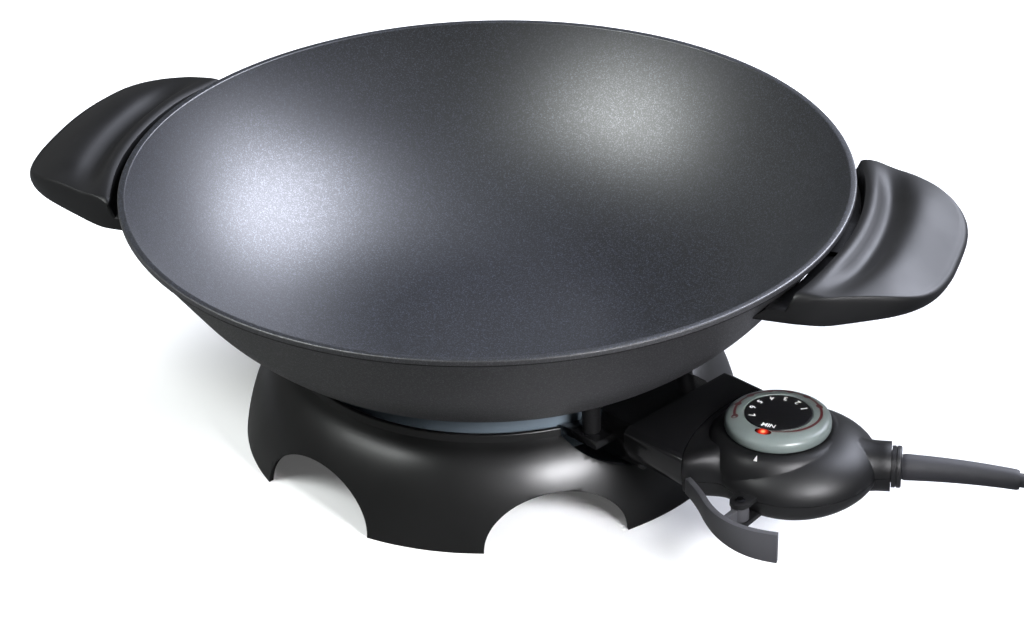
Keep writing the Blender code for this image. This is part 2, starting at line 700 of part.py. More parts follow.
def bowl_cavity_profile():
    """Profile of the space inside the bowl, from the axis over the floor to above the rim."""
    inner_round = BOTTOM_ROUND - BOWL_WALL
    floor = BOWL_BOTTOM + BOWL_FLOOR
    profile = [(0.0, floor), (BOTTOM_FLAT, floor)]
    lift = BOWL_FLOOR - BOWL_WALL
    for step in range(1, BOWL_STEPS + 1):
        share = step / BOWL_STEPS
        height = ROUND_CENTRE - inner_round * math.cos(WALL_ANGLE * share)
        profile.append((BOTTOM_FLAT + inner_round * math.sin(WALL_ANGLE * share),
                        height + lift * (1 - share)))
    inner_rim = RIM_RADIUS - RIM_WIDTH
    profile += [(inner_rim, RIM_HEIGHT - LIP_ROUND), (inner_rim + LIP_ROUND, RIM_HEIGHT),
                (inner_rim + LIP_ROUND, RIM_HEIGHT + OVERRUN), (0.0, RIM_HEIGHT + OVERRUN)]
    return profile


def make_bowl(material, arm):
    """The cast bowl with its rim, element rib, posts, bosses and handle lugs."""
    bowl = add_object("bowl", lathe(bowl_outer_profile(), BOWL_SEGMENTS), material)
    posts = []
    for centre in post_places():
        top = underside(POST_CIRCLE + POST_RADIUS) + GAP
        posts.append(rod(POST_RADIUS, POST_BOTTOM, top, centre=centre, segments=HOLE_SIDES))
    boss_top = underside(math.hypot(EAR_BOSS_U + EAR_BOSS_RADIUS, EAR_BOSS_V)) + GAP
    for side in (-1, 1):
        posts.append(rod(EAR_BOSS_RADIUS, EAR_TOP + GAP, boss_top,
                         centre=(EAR_BOSS_U, side * EAR_BOSS_V), segments=HOLE_SIDES))
    posts.append(block(
        (PROBE_BOSS_START, -PROBE_BOSS_WIDTH / 2, ELEMENT_Z - PROBE_BOSS_DROP),
        (PROBE_BOSS_END, PROBE_BOSS_WIDTH / 2, underside(PROBE_BOSS_END) + BOWL_WALL)))
    combine(bowl, add_object("bowl_posts", join_shapes(posts), parent=arm), "UNION")
    lugs = []
    for side in (-1, 1):
        ends = sorted((side * (outer_radius(LUG_BOTTOM) - BOWL_WALL * 2), side * LUG_END))
        lugs.append(block((ends[0], -LUG_WIDTH / 2, LUG_BOTTOM),
                          (ends[1], LUG_WIDTH / 2, LUG_BOTTOM + LUG_THICKNESS)))
    combine(bowl, add_object("bowl_lugs", join_shapes(lugs)), "UNION")
    cavity = lathe(bowl_cavity_profile(), BOWL_SEGMENTS)
    combine(bowl, add_object("bowl_cavity", cavity), "DIFFERENCE")
    holes = [block((RIB_CUT_START, -RIB_CUT_HALF, ELEMENT_Z - GROOVE_RADIUS - OVERRUN),
                   (RIB_OUTER + OVERRUN, RIB_CUT_HALF, ELEMENT_Z + GROOVE_RADIUS))]
    for centre in post_places():
        holes.append(rod(SCREW_SHANK + GAP, POST_BOTTOM - OVERRUN,
                         POST_BOTTOM + SCREW_LENGTH, centre=centre, segments=HOLE_SIDES))
    for side in (-1, 1):
        holes.append(rod(SCREW_SHANK + GAP, EAR_TOP - OVERRUN, EAR_TOP + SCREW_LENGTH,
                         centre=(EAR_BOSS_U, side * EAR_BOSS_V), segments=HOLE_SIDES))
    holes.append(rod(SLEEVE_RADIUS + GAP, PROBE_BOSS_END - SLEEVE_SEAT, PROBE_BOSS_END + OVERRUN,
                     axis="X", centre=(0.0, ELEMENT_Z)))
    combine(bowl, add_object("bowl_holes", join_shapes(holes), parent=arm), "DIFFERENCE")
    lug_holes = []
    for side in (-1, 1):
        lug_holes.append(rod(SCREW_SHANK + GAP, LUG_BOTTOM - OVERRUN,
                             LUG_BOTTOM + LUG_THICKNESS + OVERRUN,
                             centre=(side * HANDLE_SCREW_U, 0.0), segments=HOLE_SIDES))
    combine(bowl, add_object("bowl_lug_holes", join_shapes(lug_holes)), "DIFFERENCE")
    return bowl


def post_places():
    """Places of the posts on their circle, clear of the arm."""
    turns = [2 * math.pi * (index + 0.5) / POSTS for index in range(POSTS)]
    return [(POST_CIRCLE * math.cos(turn), POST_CIRCLE * math.sin(turn)) for turn in turns]


def element_path():
    """Centre line of the element: a ring whose ends turn outward side by side."""
    reach = ELEMENT_RADIUS + ELEMENT_BEND
    bend_v = COLD_END_SPREAD + ELEMENT_BEND
    bend_u = math.sqrt(reach ** 2 - bend_v ** 2)
    turn = math.atan2(bend_v, bend_u)
    half = [(COLD_END_REACH, COLD_END_SPREAD)]
    half += arc_points((bend_u, bend_v), ELEMENT_BEND, -math.pi / 2, turn - math.pi, BEND_STEPS)
    ring = arc_points((0.0, 0.0), ELEMENT_RADIUS, turn, 2 * math.pi - turn, ELEMENT_STEPS)
    mirrored = [(u, -v) for u, v in reversed(half)]
    return [(u, v, ELEMENT_Z) for u, v in half + ring[1:-1] + mirrored]


def make_heating(materials, arm):
    """The sheathed element with its cold ends, pins, beads and the probe sleeve."""
    add_tube("heating_element", element_path(), ELEMENT_TUBE, materials["steel"], arm, sides=2)
    pins = []
    beads = []
    pin_start = COLD_END_REACH + GAP
    for side in (-1, 1):
        centre = (side * PIN_SPREAD, ELEMENT_Z)
        pins.append(tapered_rod(PIN_RADIUS, pin_start, pin_start + PIN_LENGTH, centre))
        beads.append(tube_shape(BEAD_RADIUS, PIN_RADIUS + GAP, pin_start,
                                pin_start + BEAD_LENGTH, centre))
    add_each("terminal_pin", pins, materials["nickel"], arm)
    add_each("pin_bead", beads, materials["ceramic"], arm)
    sleeve = add_object("probe_sleeve", rod(
        SLEEVE_RADIUS, PROBE_BOSS_END - SLEEVE_SEAT + GAP, SLEEVE_END, axis="X",
        centre=(0.0, ELEMENT_Z)), materials["steel"], arm)
    bore = rod(SLEEVE_BORE, PROBE_START - GAP, SLEEVE_END + OVERRUN, axis="X",
               centre=(0.0, ELEMENT_Z))
    combine(sleeve, add_object("sleeve_bore", bore, parent=arm), "DIFFERENCE")


def tapered_rod(radius, start, end, centre):
    """Return a rod along X whose far end is chamfered."""
    shape = lathe([(0.0, start), (radius, start), (radius, end - radius / 2),
                   (radius / 2, end), (0.0, end)], ROD_SIDES)
    return lay_along_x(shape, centre)


def tube_shape(outer, inner, start, end, centre):
    """Return a plain tube along X."""
    shape = lathe([(inner, start), (outer, start), (outer, end), (inner, end)], ROD_SIDES)
    return lay_along_x(shape, centre)


def lay_along_x(shape, centre):
    """Turn a body that stands along Z so that it lies along X, at a place in Y and Z."""
    for vertex in shape.verts:
        x, y, z = vertex.co
        vertex.co = (z, centre[0] + y, centre[1] - x)
    return shape


def make_reflector(material, arm):
    """The spun cup that throws the element's heat back at the bowl."""
    outer = CUP_RADIUS
    inner = CUP_RADIUS - CUP_SHEET
    top = underside(CUP_RADIUS) - CARRY
    bottom = CUP_BOTTOM
    floor = CUP_BOTTOM + CUP_SHEET
    corner = CUP_BEND * CORNER_SHARE
    profile = [(0.0, bottom), (outer - CUP_BEND, bottom), (outer - corner, bottom + corner),
               (outer, bottom + CUP_BEND), (outer, top), (inner, top), (inner, floor + CUP_BEND),
               (inner - corner, floor + corner), (inner - CUP_BEND, floor), (0.0, floor)]
    cup = add_object("heat_reflector", lathe(profile, CUP_SEGMENTS), material, arm)
    cuts = [block((CUP_RADIUS - CUP_WINDOW / 2, -CUP_WINDOW, ELEMENT_Z - PROBE_BOSS_DROP - OVERRUN / 2),
                  (CUP_RADIUS + OVERRUN, CUP_WINDOW, top + OVERRUN))]
    for centre in post_places():
        cuts.append(rod(SCREW_SHANK + GAP, CUP_BOTTOM - OVERRUN, floor + OVERRUN,
                        centre=centre, segments=HOLE_SIDES))
    combine(cup, add_object("reflector_cuts", join_shapes(cuts), parent=arm), "DIFFERENCE")
    return cup


def stand_profile():
    """Closed profile of the stand's skirt, collar and inner flange."""
    outer = []
    for step in range(SKIRT_STEPS + 1):
        height = COLLAR_FOOT * step / SKIRT_STEPS
        outer.append((skirt_radius(height), height))
    collar = [(COLLAR_RADIUS, COLLAR_HEIGHT - COLLAR_ROUND),
              (COLLAR_RADIUS - COLLAR_ROUND, COLLAR_HEIGHT),
              (COLLAR_RADIUS - STAND_WALL + COLLAR_ROUND, COLLAR_HEIGHT),
              (COLLAR_RADIUS - STAND_WALL, COLLAR_HEIGHT - COLLAR_ROUND),
              (COLLAR_RADIUS - STAND_WALL, COLLAR_FOOT - STAND_WALL)]
    flange_top = FLANGE_HEIGHT + FLANGE_THICKNESS
    inner = []
    for share in SKIRT_INNER_SHARES:
        height = COLLAR_FOOT * share
        inner.append((skirt_radius(height) - STAND_WALL, height - STAND_WALL / 2))
    flange = [(skirt_radius(flange_top) - STAND_WALL, flange_top), (FLANGE_BORE, flange_top),
              (FLANGE_BORE, FLANGE_HEIGHT),
              (skirt_radius(FLANGE_HEIGHT) - STAND_WALL, FLANGE_HEIGHT)]
    lower = []
    for share in SKIRT_LOWER_SHARES:
        height = FLANGE_HEIGHT * share
        lower.append((skirt_radius(height) - STAND_WALL, height))
    return outer + collar + inner + flange + lower


def make_stand(material, arm):
    """The six-footed stand, with its scallops and the shroud's notch. Returns its screws."""
    stand = add_object("stand", lathe(stand_profile(), STAND_SEGMENTS), material, arm)
    scallops = []
    for index in range(SCALLOPS):
        turn = 2 * math.pi * (index + 0.5) / SCALLOPS
        outline = []
        for across, up in arc_points((0.0, 0.0), 1.0, 0.0, math.pi, ARC_STEPS)[1:-1]:
            outline.append((across * SCALLOP_WIDTH / 2, up * SCALLOP_HEIGHT))
        outline += [(-SCALLOP_WIDTH / 2, -OVERRUN), (SCALLOP_WIDTH / 2, -OVERRUN)]
        shape = extrude_outline(outline, FLANGE_BORE, FOOT_RADIUS + OVERRUN, axis="X")
        for vertex in shape.verts:
            u, v, z = vertex.co
            vertex.co = (u * math.cos(turn) - v * math.sin(turn),
                         u * math.sin(turn) + v * math.cos(turn), z)
        scallops.append(shape)
    combine(stand, add_object("stand_scallops", join_shapes(scallops), parent=arm), "DIFFERENCE")
    outline = []
    for across, up in arc_points((0.0, 0.0), 1.0, math.pi, 2 * math.pi, ARC_STEPS):
        outline.append((across * NOTCH_WIDTH / 2, NOTCH_CENTRE + up * NOTCH_DEPTH))
    outline += [(NOTCH_WIDTH / 2, COLLAR_HEIGHT + OVERRUN), (-NOTCH_WIDTH / 2, COLLAR_HEIGHT + OVERRUN)]
    notch = extrude_outline(outline, CUP_RADIUS - OVERRUN, FOOT_RADIUS, axis="X")
    combine(stand, add_object("stand_notch", notch, parent=arm), "DIFFERENCE")
    holes = []
    for centre in post_places():
        holes.append(rod(SCREW_SHANK + GAP, FLANGE_HEIGHT - OVERRUN,
                         CUP_BOTTOM + OVERRUN, centre=centre, segments=HOLE_SIDES))
    combine(stand, add_object("stand_holes", join_shapes(holes), parent=arm), "DIFFERENCE")
    return [screw_shape((*centre, FLANGE_HEIGHT - GAP), SCREW_LENGTH) for centre in post_places()]


def shroud_section(inset):
    """Cross-section of the shroud: a flat top with round edges over an elliptic belly."""
    half = SHROUD_HALF - inset
    lower = SHROUD_LOWER_HALF - inset
    top = SHROUD_TOP - inset
    corner = max(SHROUD_ROUND - inset, GAP)
    outline = arc_points((half - corner, top - corner), corner, 0.0, math.pi / 2, CORNER_STEPS)
    outline += arc_points((corner - half, top - corner), corner, math.pi / 2, math.pi, CORNER_STEPS)
    outline.append((-half, SHROUD_SHOULDER))
    belly = SHROUD_SHOULDER - SHROUD_BOTTOM - inset
    for across, up in arc_points((0.0, 0.0), 1.0, math.pi, 2 * math.pi, ARC_STEPS):
        outline.append((across * lower, SHROUD_SHOULDER + up * belly))
    outline.append((half, SHROUD_SHOULDER))
    return outline


def mouth_cylinder(radius, name, arm):
    """A tall cylinder about the mouth's own axis, which shapes the joint line."""
    shape = rod(radius, 0.0, RIM_HEIGHT, centre=(MOUTH_U, MOUTH_V), segments=MOUTH_SIDES)
    return add_object(name, shape, parent=arm)


def make_shroud(material, arm):
    """The tunnel over the terminals, with two ears for screws, which it returns."""
    end = MOUTH_U - MOUTH_RADIUS * MOUTH_REACH_SHARE
    shroud = add_object("terminal_shroud", extrude_outline(
        shroud_section(0.0), SHROUD_START, end, axis="X"), material, arm)
    duct = block((DUCT_START, -DUCT_HALF, DUCT_BOTTOM),
                 (SHROUD_START + SHROUD_WALL, DUCT_HALF, DUCT_TOP))
    combine(shroud, add_object("shroud_duct", duct, parent=arm), "UNION")
    ears = []
    for side in (-1, 1):
        sides = sorted((side * EAR_HALF, side * (DUCT_HALF - SHROUD_WALL / 2)))
        ears.append(block((EAR_CLEAR_RADIUS - OVERRUN * 4, sides[0], EAR_TOP - EAR_THICKNESS),
                          (EAR_REACH, sides[1], EAR_TOP)))
    combine(shroud, add_object("shroud_ears", join_shapes(ears), parent=arm), "UNION")
    hollows = [extrude_outline(shroud_section(SHROUD_WALL), SHROUD_START + SHROUD_WALL,
                               end + OVERRUN, axis="X")]
    combine(shroud, add_object("shroud_hollow", join_shapes(hollows), parent=arm), "DIFFERENCE")
    bore = block((DUCT_START - OVERRUN, SHROUD_WALL - DUCT_HALF, DUCT_BOTTOM + SHROUD_WALL),
                 (SHROUD_START + SHROUD_WALL * 2, DUCT_HALF - SHROUD_WALL, DUCT_TOP - SHROUD_WALL))
    combine(shroud, add_object("shroud_bore", bore, parent=arm), "DIFFERENCE")
    combine(shroud, mouth_cylinder(MOUTH_RADIUS, "shroud_mouth", arm), "DIFFERENCE")
    clear = rod(EAR_CLEAR_RADIUS, 0.0, RIM_HEIGHT, segments=MOUTH_SIDES)
    combine(shroud, add_object("shroud_clear", clear, parent=arm), "DIFFERENCE")
    holes = []
    screws = []
    for side in (-1, 1):
        centre = (EAR_BOSS_U, side * EAR_BOSS_V)
        holes.append(rod(SCREW_SHANK + GAP, EAR_TOP - EAR_THICKNESS - OVERRUN,
                         EAR_TOP + OVERRUN, centre=centre, segments=HOLE_SIDES))
        screws.append(screw_shape((*centre, EAR_TOP - EAR_THICKNESS - GAP), SCREW_LENGTH))
    combine(shroud, add_object("shroud_holes", join_shapes(holes), parent=arm), "DIFFERENCE")
    return screws


def bridge_rings(rings):
    """Skin a row of alike sections and close both ends."""
    shape = bmesh.new()
    rows = [[shape.verts.new(spot) for spot in ring] for ring in rings]
    for here, there in zip(rows, rows[1:]):
        for index in range(len(here)):
            after = (index + 1) % len(here)
            shape.faces.new((here[index], here[after], there[after], there[index]))
    bmesh.ops.triangulate(shape, faces=shape.faces)
    shape.faces.new(list(reversed(rows[0])))
    shape.faces.new(rows[-1])
    return shape


def handle_top(radius):
    """Height of a grip's upper face at a distance from the wok's axis."""
    share = (radius - HANDLE_INNER_TOP) / (HANDLE_REACH - HANDLE_INNER_TOP)
    return HANDLE_BOTTOM + HANDLE_HEIGHT * interpolate(HANDLE_TOP_SHARES, max(0.0, share))


def handle_under(radius):
    """Height of a grip's lower face at a distance from the wok's axis."""
    share = (radius - HANDLE_INNER_TOP) / (HANDLE_REACH - HANDLE_INNER_TOP)
    return HANDLE_BOTTOM + HANDLE_HEIGHT * interpolate(HANDLE_UNDER_SHARES, max(0.0, share))


def handle_ring(across):
    """One section of a grip at a share of its half span: over the top and back underneath."""
    span = across * HANDLE_HALF_SPAN
    top_start = math.sqrt(HANDLE_INNER_TOP ** 2 - span ** 2)
    under_start = math.sqrt(HANDLE_INNER_BOTTOM ** 2 - span ** 2)
    outline = list(zip(HANDLE_SPAN_SHARES, HANDLE_REACH_SHARES))
    reach = mix(top_start, HANDLE_REACH, interpolate(outline, abs(across)))
    edge = min(HANDLE_EDGE_ROUND, (reach - top_start) * HANDLE_EDGE_SHARE)
    ring = []
    for share in HANDLE_SAMPLE_SHARES:
        place = mix(top_start, reach - edge, share)
        ring.append((place, span, handle_top(math.hypot(place, span))))
    top = ring[-1][2]
    under = handle_under(math.hypot(reach - edge, span))
    for out_share, height_share in HANDLE_EDGE_CURVE_SHARES:
        ring.append((reach - edge * out_share, span, mix(under, top, height_share)))
    for share in reversed(HANDLE_UNDER_SAMPLE_SHARES):
        place = mix(under_start, reach - edge, share)
        ring.append((place, span, handle_under(math.hypot(place, span))))
    return ring


def make_handle(name, side, material):
    """A moulded grip, hollowed for its lug and seated for the screw, which it returns."""
    stations = [-share for share in reversed(HANDLE_SPAN_SHARES[1:])] + list(HANDLE_SPAN_SHARES)
    rings = [[(side * x, y, z) for x, y, z in handle_ring(across)] for across in stations]
    handle = add_object(name, bridge_rings(rings), material)
    ends = sorted((side * (HANDLE_INNER_BOTTOM - OVERRUN), side * (LUG_END + GAP)))
    pocket = block((ends[0], -LUG_WIDTH / 2 - GAP, LUG_BOTTOM - GAP),
                   (ends[1], LUG_WIDTH / 2 + GAP, LUG_BOTTOM + LUG_THICKNESS + GAP))
    combine(handle, add_object(name + "_pocket", pocket), "DIFFERENCE")
    centre = (side * HANDLE_SCREW_U, 0.0)
    seat = rod(SCREW_HEAD + GAP * 2, HANDLE_BOTTOM - OVERRUN, HANDLE_SCREW_SEAT, centre=centre,
               segments=BOSS_SIDES)
    combine(handle, add_object(name + "_seat", seat), "DIFFERENCE")
    hole = rod(SCREW_SHANK + GAP, HANDLE_SCREW_SEAT - OVERRUN, LUG_BOTTOM, centre=centre,
               segments=HOLE_SIDES)
    combine(handle, add_object(name + "_hole", hole), "DIFFERENCE")
    return screw_shape((*centre, HANDLE_SCREW_SEAT - GAP),
                       LUG_BOTTOM + LUG_THICKNESS - HANDLE_SCREW_SEAT)


def housing_edges(u, inset):
    """Near and far edges, top and bottom of the controller's housing at a place on the arm."""
    radius = BULB_RADIUS - inset
    share = max(-BULB_TIP_SHARE, min(BULB_TIP_SHARE, (u - BULB_U) / radius))
    fullness = math.sqrt(1 - share ** 2)
    waist = smoothstep((u - WAIST_START) / (WAIST_END - WAIST_START))
    shoulder = smoothstep((u - SHOULDER_START) / (SHOULDER_END - SHOULDER_START))
    near = mix(inset - SHROUD_HALF, BULB_V - radius * fullness, waist)
    far = mix(SHROUD_HALF - inset, BULB_V + radius * fullness, shoulder)
    top = mix(SHROUD_TOP - PARTING - inset, (BULB_TOP - inset) * fullness, shoulder)
    bottom = mix(PARTING - SHROUD_BOTTOM - inset, (BULB_BOTTOM - inset) * fullness, shoulder)
    return near, far, top, bottom


def housing_half(side, inset, extent, ceiling):
    """Loft one half of the housing: a box-like hood that runs into a round bulb."""
    radius = BULB_RADIUS - inset
    stations = [mix(HOOD_START, BULB_U, step / HOOD_STEPS) for step in range(HOOD_STEPS)]
    stations += [BULB_U + radius * math.sin(math.pi / 2 * step / BULB_STEPS)
                 for step in range(BULB_STEPS)]
    stations.append(BULB_U + radius * BULB_TIP_SHARE)
    rings = []
    for u in stations:
        near, far, top, bottom = housing_edges(u, inset)
        height = top if side > 0 else bottom
        fade = smoothstep((u - WAIST_START) / (WAIST_END - WAIST_START))
        power = mix(BOX_POWER, BULB_POWER, fade) if side > 0 else KEEL_POWER
        ring = [(u, far, PARTING - side * extent)]
        for step in range(SECTION_STEPS + 1):
            turn = math.pi * step / SECTION_STEPS
            across = math.copysign(abs(math.cos(turn)) ** (2 / power), math.cos(turn))
            up = abs(math.sin(turn)) ** (2 / power) if 0 < step < SECTION_STEPS else 0.0
            rise = min(height * up, ceiling - PARTING)
            ring.append((u, mix(near, far, (1 + across) / 2), PARTING + side * rise))
        ring.append((u, near, PARTING - side * extent))
        rings.append(ring)
    return bridge_rings(rings)


def boss_places():
    """Places of the bosses that the housing's screws pass through."""
    reach = BULB_RADIUS * BOSS_RADIUS_SHARE
    return [(BULB_U + reach * math.cos(turn), BULB_V + reach * math.sin(turn))
            for turn in BOSS_BEARINGS]


def ear_shape(low, high):
    """A round-ended tab from the bulb to the lever's pin."""
    away = Vector((LEVER_PIVOT_U - BULB_U, LEVER_PIVOT_V - BULB_V))
    bearing = math.atan2(away.y, away.x)
    half = LEVER_EAR_WIDTH / 2
    outline = arc_points((LEVER_PIVOT_U, LEVER_PIVOT_V), half, bearing - math.pi / 2,
                         bearing + math.pi / 2, CORNER_STEPS * 2)
    root = away.normalized() * BULB_RADIUS * EAR_ROOT_SHARE
    for side in (1, -1):
        outline.append((BULB_U + root.x - side * half * math.sin(bearing),
                        BULB_V + root.y + side * half * math.cos(bearing)))
    return extrude_outline(outline, low, high)


def finish_housing(shell, side, extras, supports, cuts, arm, neck):
    """Shape one half of the housing from its loft, and trim it at the parting."""
    name = shell.name
    ceiling = PEDESTAL_HEIGHT - HOUSING_WALL if side > 0 else PARTING + BULB_TOP
    neck_rod = rod(NECK_RADIUS, NECK_START, NECK_END, axis="X", centre=(0.0, PARTING),
                   segments=NECK_SIDES)
    combine(shell, add_object(name + "_neck", neck_rod, parent=neck), "UNION")
    for index, extra in enumerate(extras):
        combine(shell, add_object(f"{name}_extra_{index}", extra, parent=arm), "UNION")
    combine(shell, mouth_cylinder(MOUTH_RADIUS - GAP, name + "_mouth", arm), "INTERSECT")
    cavity = add_object(name + "_cavity", housing_half(side, HOUSING_WALL, OVERRUN * 2, ceiling),
                        parent=arm)
    combine(cavity, mouth_cylinder(MOUTH_RADIUS - GAP - HOUSING_WALL, name + "_front", arm), "INTERSECT")
    combine(shell, cavity, "DIFFERENCE")
    posts = add_object(name + "_posts", join_shapes(supports), parent=arm)
    middle = housing_half(side, HOUSING_WALL / 2, OVERRUN * 3, BULB_TOP + PARTING)
    combine(posts, add_object(name + "_middle", middle, parent=arm), "INTERSECT")
    combine(shell, posts, "UNION", "MANIFOLD")
    combine(shell, add_object(name + "_cuts", join_shapes(cuts), parent=arm), "DIFFERENCE",
            "MANIFOLD")
    bore = rod(NECK_BORE, NECK_START - HOUSING_WALL * 2, NECK_END + OVERRUN, axis="X",
               centre=(0.0, PARTING), segments=NECK_SIDES)
    combine(shell, add_object(name + "_neck_bore", bore, parent=neck), "DIFFERENCE", "MANIFOLD")
    return shell


def block_opening():
    """The opening in the housing's front that the contact block passes through."""
    return block((HOOD_START, -BLOCK_HALF - GAP, BLOCK_BOTTOM - GAP),
                 (BLOCK_OPENING_END, BLOCK_HALF + GAP, BLOCK_TOP + GAP))


def make_upper_housing(material, arm, neck):
    """Upper half of the controller, with the pedestal that the dial turns on."""
    shell = add_object("upper_housing", housing_half(1, 0.0, OVERRUN, BULB_TOP + PARTING),
                       material, arm)
    foot = PEDESTAL_HEIGHT - PEDESTAL_DROP
    dome = [(PEDESTAL_RADIUS + PEDESTAL_SPREAD * out, foot + PEDESTAL_DROP * up)
            for out, up in arc_points((0.0, 0.0), 1.0, 0.0, math.pi / 2, PEDESTAL_STEPS)]
    pedestal = lathe([(0.0, foot), *dome, (PEDESTAL_RADIUS, PEDESTAL_HEIGHT + OVERRUN / 2),
                      (0.0, PEDESTAL_HEIGHT + OVERRUN / 2)], DIAL_SIDES)
    bmesh.ops.translate(pedestal, vec=(DIAL_U, DIAL_V, 0), verts=pedestal.verts)
    ear = ear_shape(PARTING - OVERRUN, PARTING + LEVER_EAR_THICKNESS)
    supports = [rod(BOSS_RADIUS, PARTING - OVERRUN, PARTING + BULB_TOP, centre=centre)
                for centre in boss_places()]
    finish_housing(shell, 1, [pedestal, ear], supports, [slab(-1)], arm, neck)
    cuts = [rod(DIAL_RADIUS + OVERRUN, PEDESTAL_HEIGHT, PEDESTAL_HEIGHT + BULB_TOP,
                centre=(DIAL_U, DIAL_V), segments=DIAL_SIDES)]
    combine(shell, add_object("dial_clearance", join_shapes(cuts), parent=arm), "DIFFERENCE",
            "MANIFOLD")
    holes = [block_opening(), pin_hole(),
             rod(DIAL_HUB_RADIUS + GAP, DIAL_FLOOR, PEDESTAL_HEIGHT + OVERRUN,
                 centre=(DIAL_U, DIAL_V), segments=NECK_SIDES),
             rod(LAMP_RADIUS + GAP, DIAL_FLOOR, PEDESTAL_HEIGHT + OVERRUN, centre=lamp_place())]
    for centre in boss_places():
        holes.append(rod(SCREW_SHANK + GAP, PARTING - OVERRUN, HOUSING_SCREW_TIP + OVERRUN,
                         centre=centre, segments=HOLE_SIDES))
    combine(shell, add_object("upper_housing_holes", join_shapes(holes), parent=arm), "DIFFERENCE",
            "MANIFOLD")
    return shell


def make_lower_housing(material, arm, neck):
    """Lower half of the controller, with posts for what it carries."""
    shell = add_object("lower_housing", housing_half(-1, 0.0, OVERRUN, BULB_TOP + PARTING),
                       material, arm)
    ear = ear_shape(LEVER_HUB_BOTTOM - GAP - LEVER_EAR_THICKNESS, LEVER_HUB_BOTTOM - GAP)
    low = PARTING - BULB_BOTTOM
    supports = [rod(BOSS_RADIUS, low, PARTING + OVERRUN, centre=centre)
                for centre in boss_places()]
    for centre in clamp_screw_places():
        supports.append(rod(CLAMP_POST_RADIUS, low, PARTING + OVERRUN, centre=centre))
    for side in (-1, 1):
        supports.append(rod(REST_RADIUS, low, FRAME_BOTTOM - GAP,
                            centre=(FRAME_START + FRAME_LENGTH / 2, side * FRAME_WIDTH / 4)))
        supports.append(rod(REST_RADIUS, low, BLOCK_BOTTOM - GAP,
                            centre=(BLOCK_END - REST_RADIUS * 2, side * BLOCK_HALF / 2)))
    finish_housing(shell, -1, [ear], supports, [slab(1)], arm, neck)
    holes = [block_opening(), pin_hole()]
    for centre in boss_places():
        holes.append(rod(SCREW_SHANK + GAP, low, PARTING + OVERRUN, centre=centre,
                         segments=HOLE_SIDES))
    for centre in clamp_screw_places():
        holes.append(rod(SMALL_SHANK + GAP, CLAMP_SCREW_TIP - OVERRUN / 2, PARTING + OVERRUN,
                         centre=centre, segments=HOLE_SIDES))
    combine(shell, add_object("lower_housing_holes", join_shapes(holes), parent=arm), "DIFFERENCE",
            "MANIFOLD")
    seats = [rod(SCREW_HEAD + GAP * 2, low - OVERRUN, HOUSING_SCREW_SEAT, centre=centre)
             for centre in boss_places()]
    combine(shell, add_object("housing_screw_seats", join_shapes(seats), parent=arm), "DIFFERENCE",
            "MANIFOLD")
    return shell


def slab(side):
    """A slab that trims a half of the housing at the parting, above or below it."""
    reach = BULB_RADIUS * 3
    near = PARTING - GAP / 2 if side > 0 else PARTING + GAP / 2
    far = near + side * BULB_RADIUS
    return block((HOOD_START - reach, -reach, min(near, far)), (BULB_U + reach, reach, max(near, far)))


def pin_hole():
    """Bore of the lever's pin through the ears."""
    return rod(LEVER_PIN_RADIUS + GAP, LEVER_HUB_BOTTOM - LEVER_EAR_THICKNESS - OVERRUN,
               PARTING + LEVER_EAR_THICKNESS + OVERRUN, centre=(LEVER_PIVOT_U, LEVER_PIVOT_V),
               segments=HOLE_SIDES)


def lamp_place():
    """Place of the pilot lamp beside the dial's pointer mark."""
    return (DIAL_U + LAMP_CIRCLE * math.cos(POINTER_BEARING),
            DIAL_V + LAMP_CIRCLE * math.sin(POINTER_BEARING))


def clamp_screw_places():
    """Places of the cord clamp's screws in the arm's frame."""
    places = []
    for side in (-1, 1):
        across = side * CLAMP_SPREAD
        places.append((BULB_U + CLAMP_DISTANCE * math.cos(NECK_BEARING) - across * math.sin(NECK_BEARING),
                       BULB_V + CLAMP_DISTANCE * math.sin(NECK_BEARING) + across * math.cos(NECK_BEARING)))
    return places


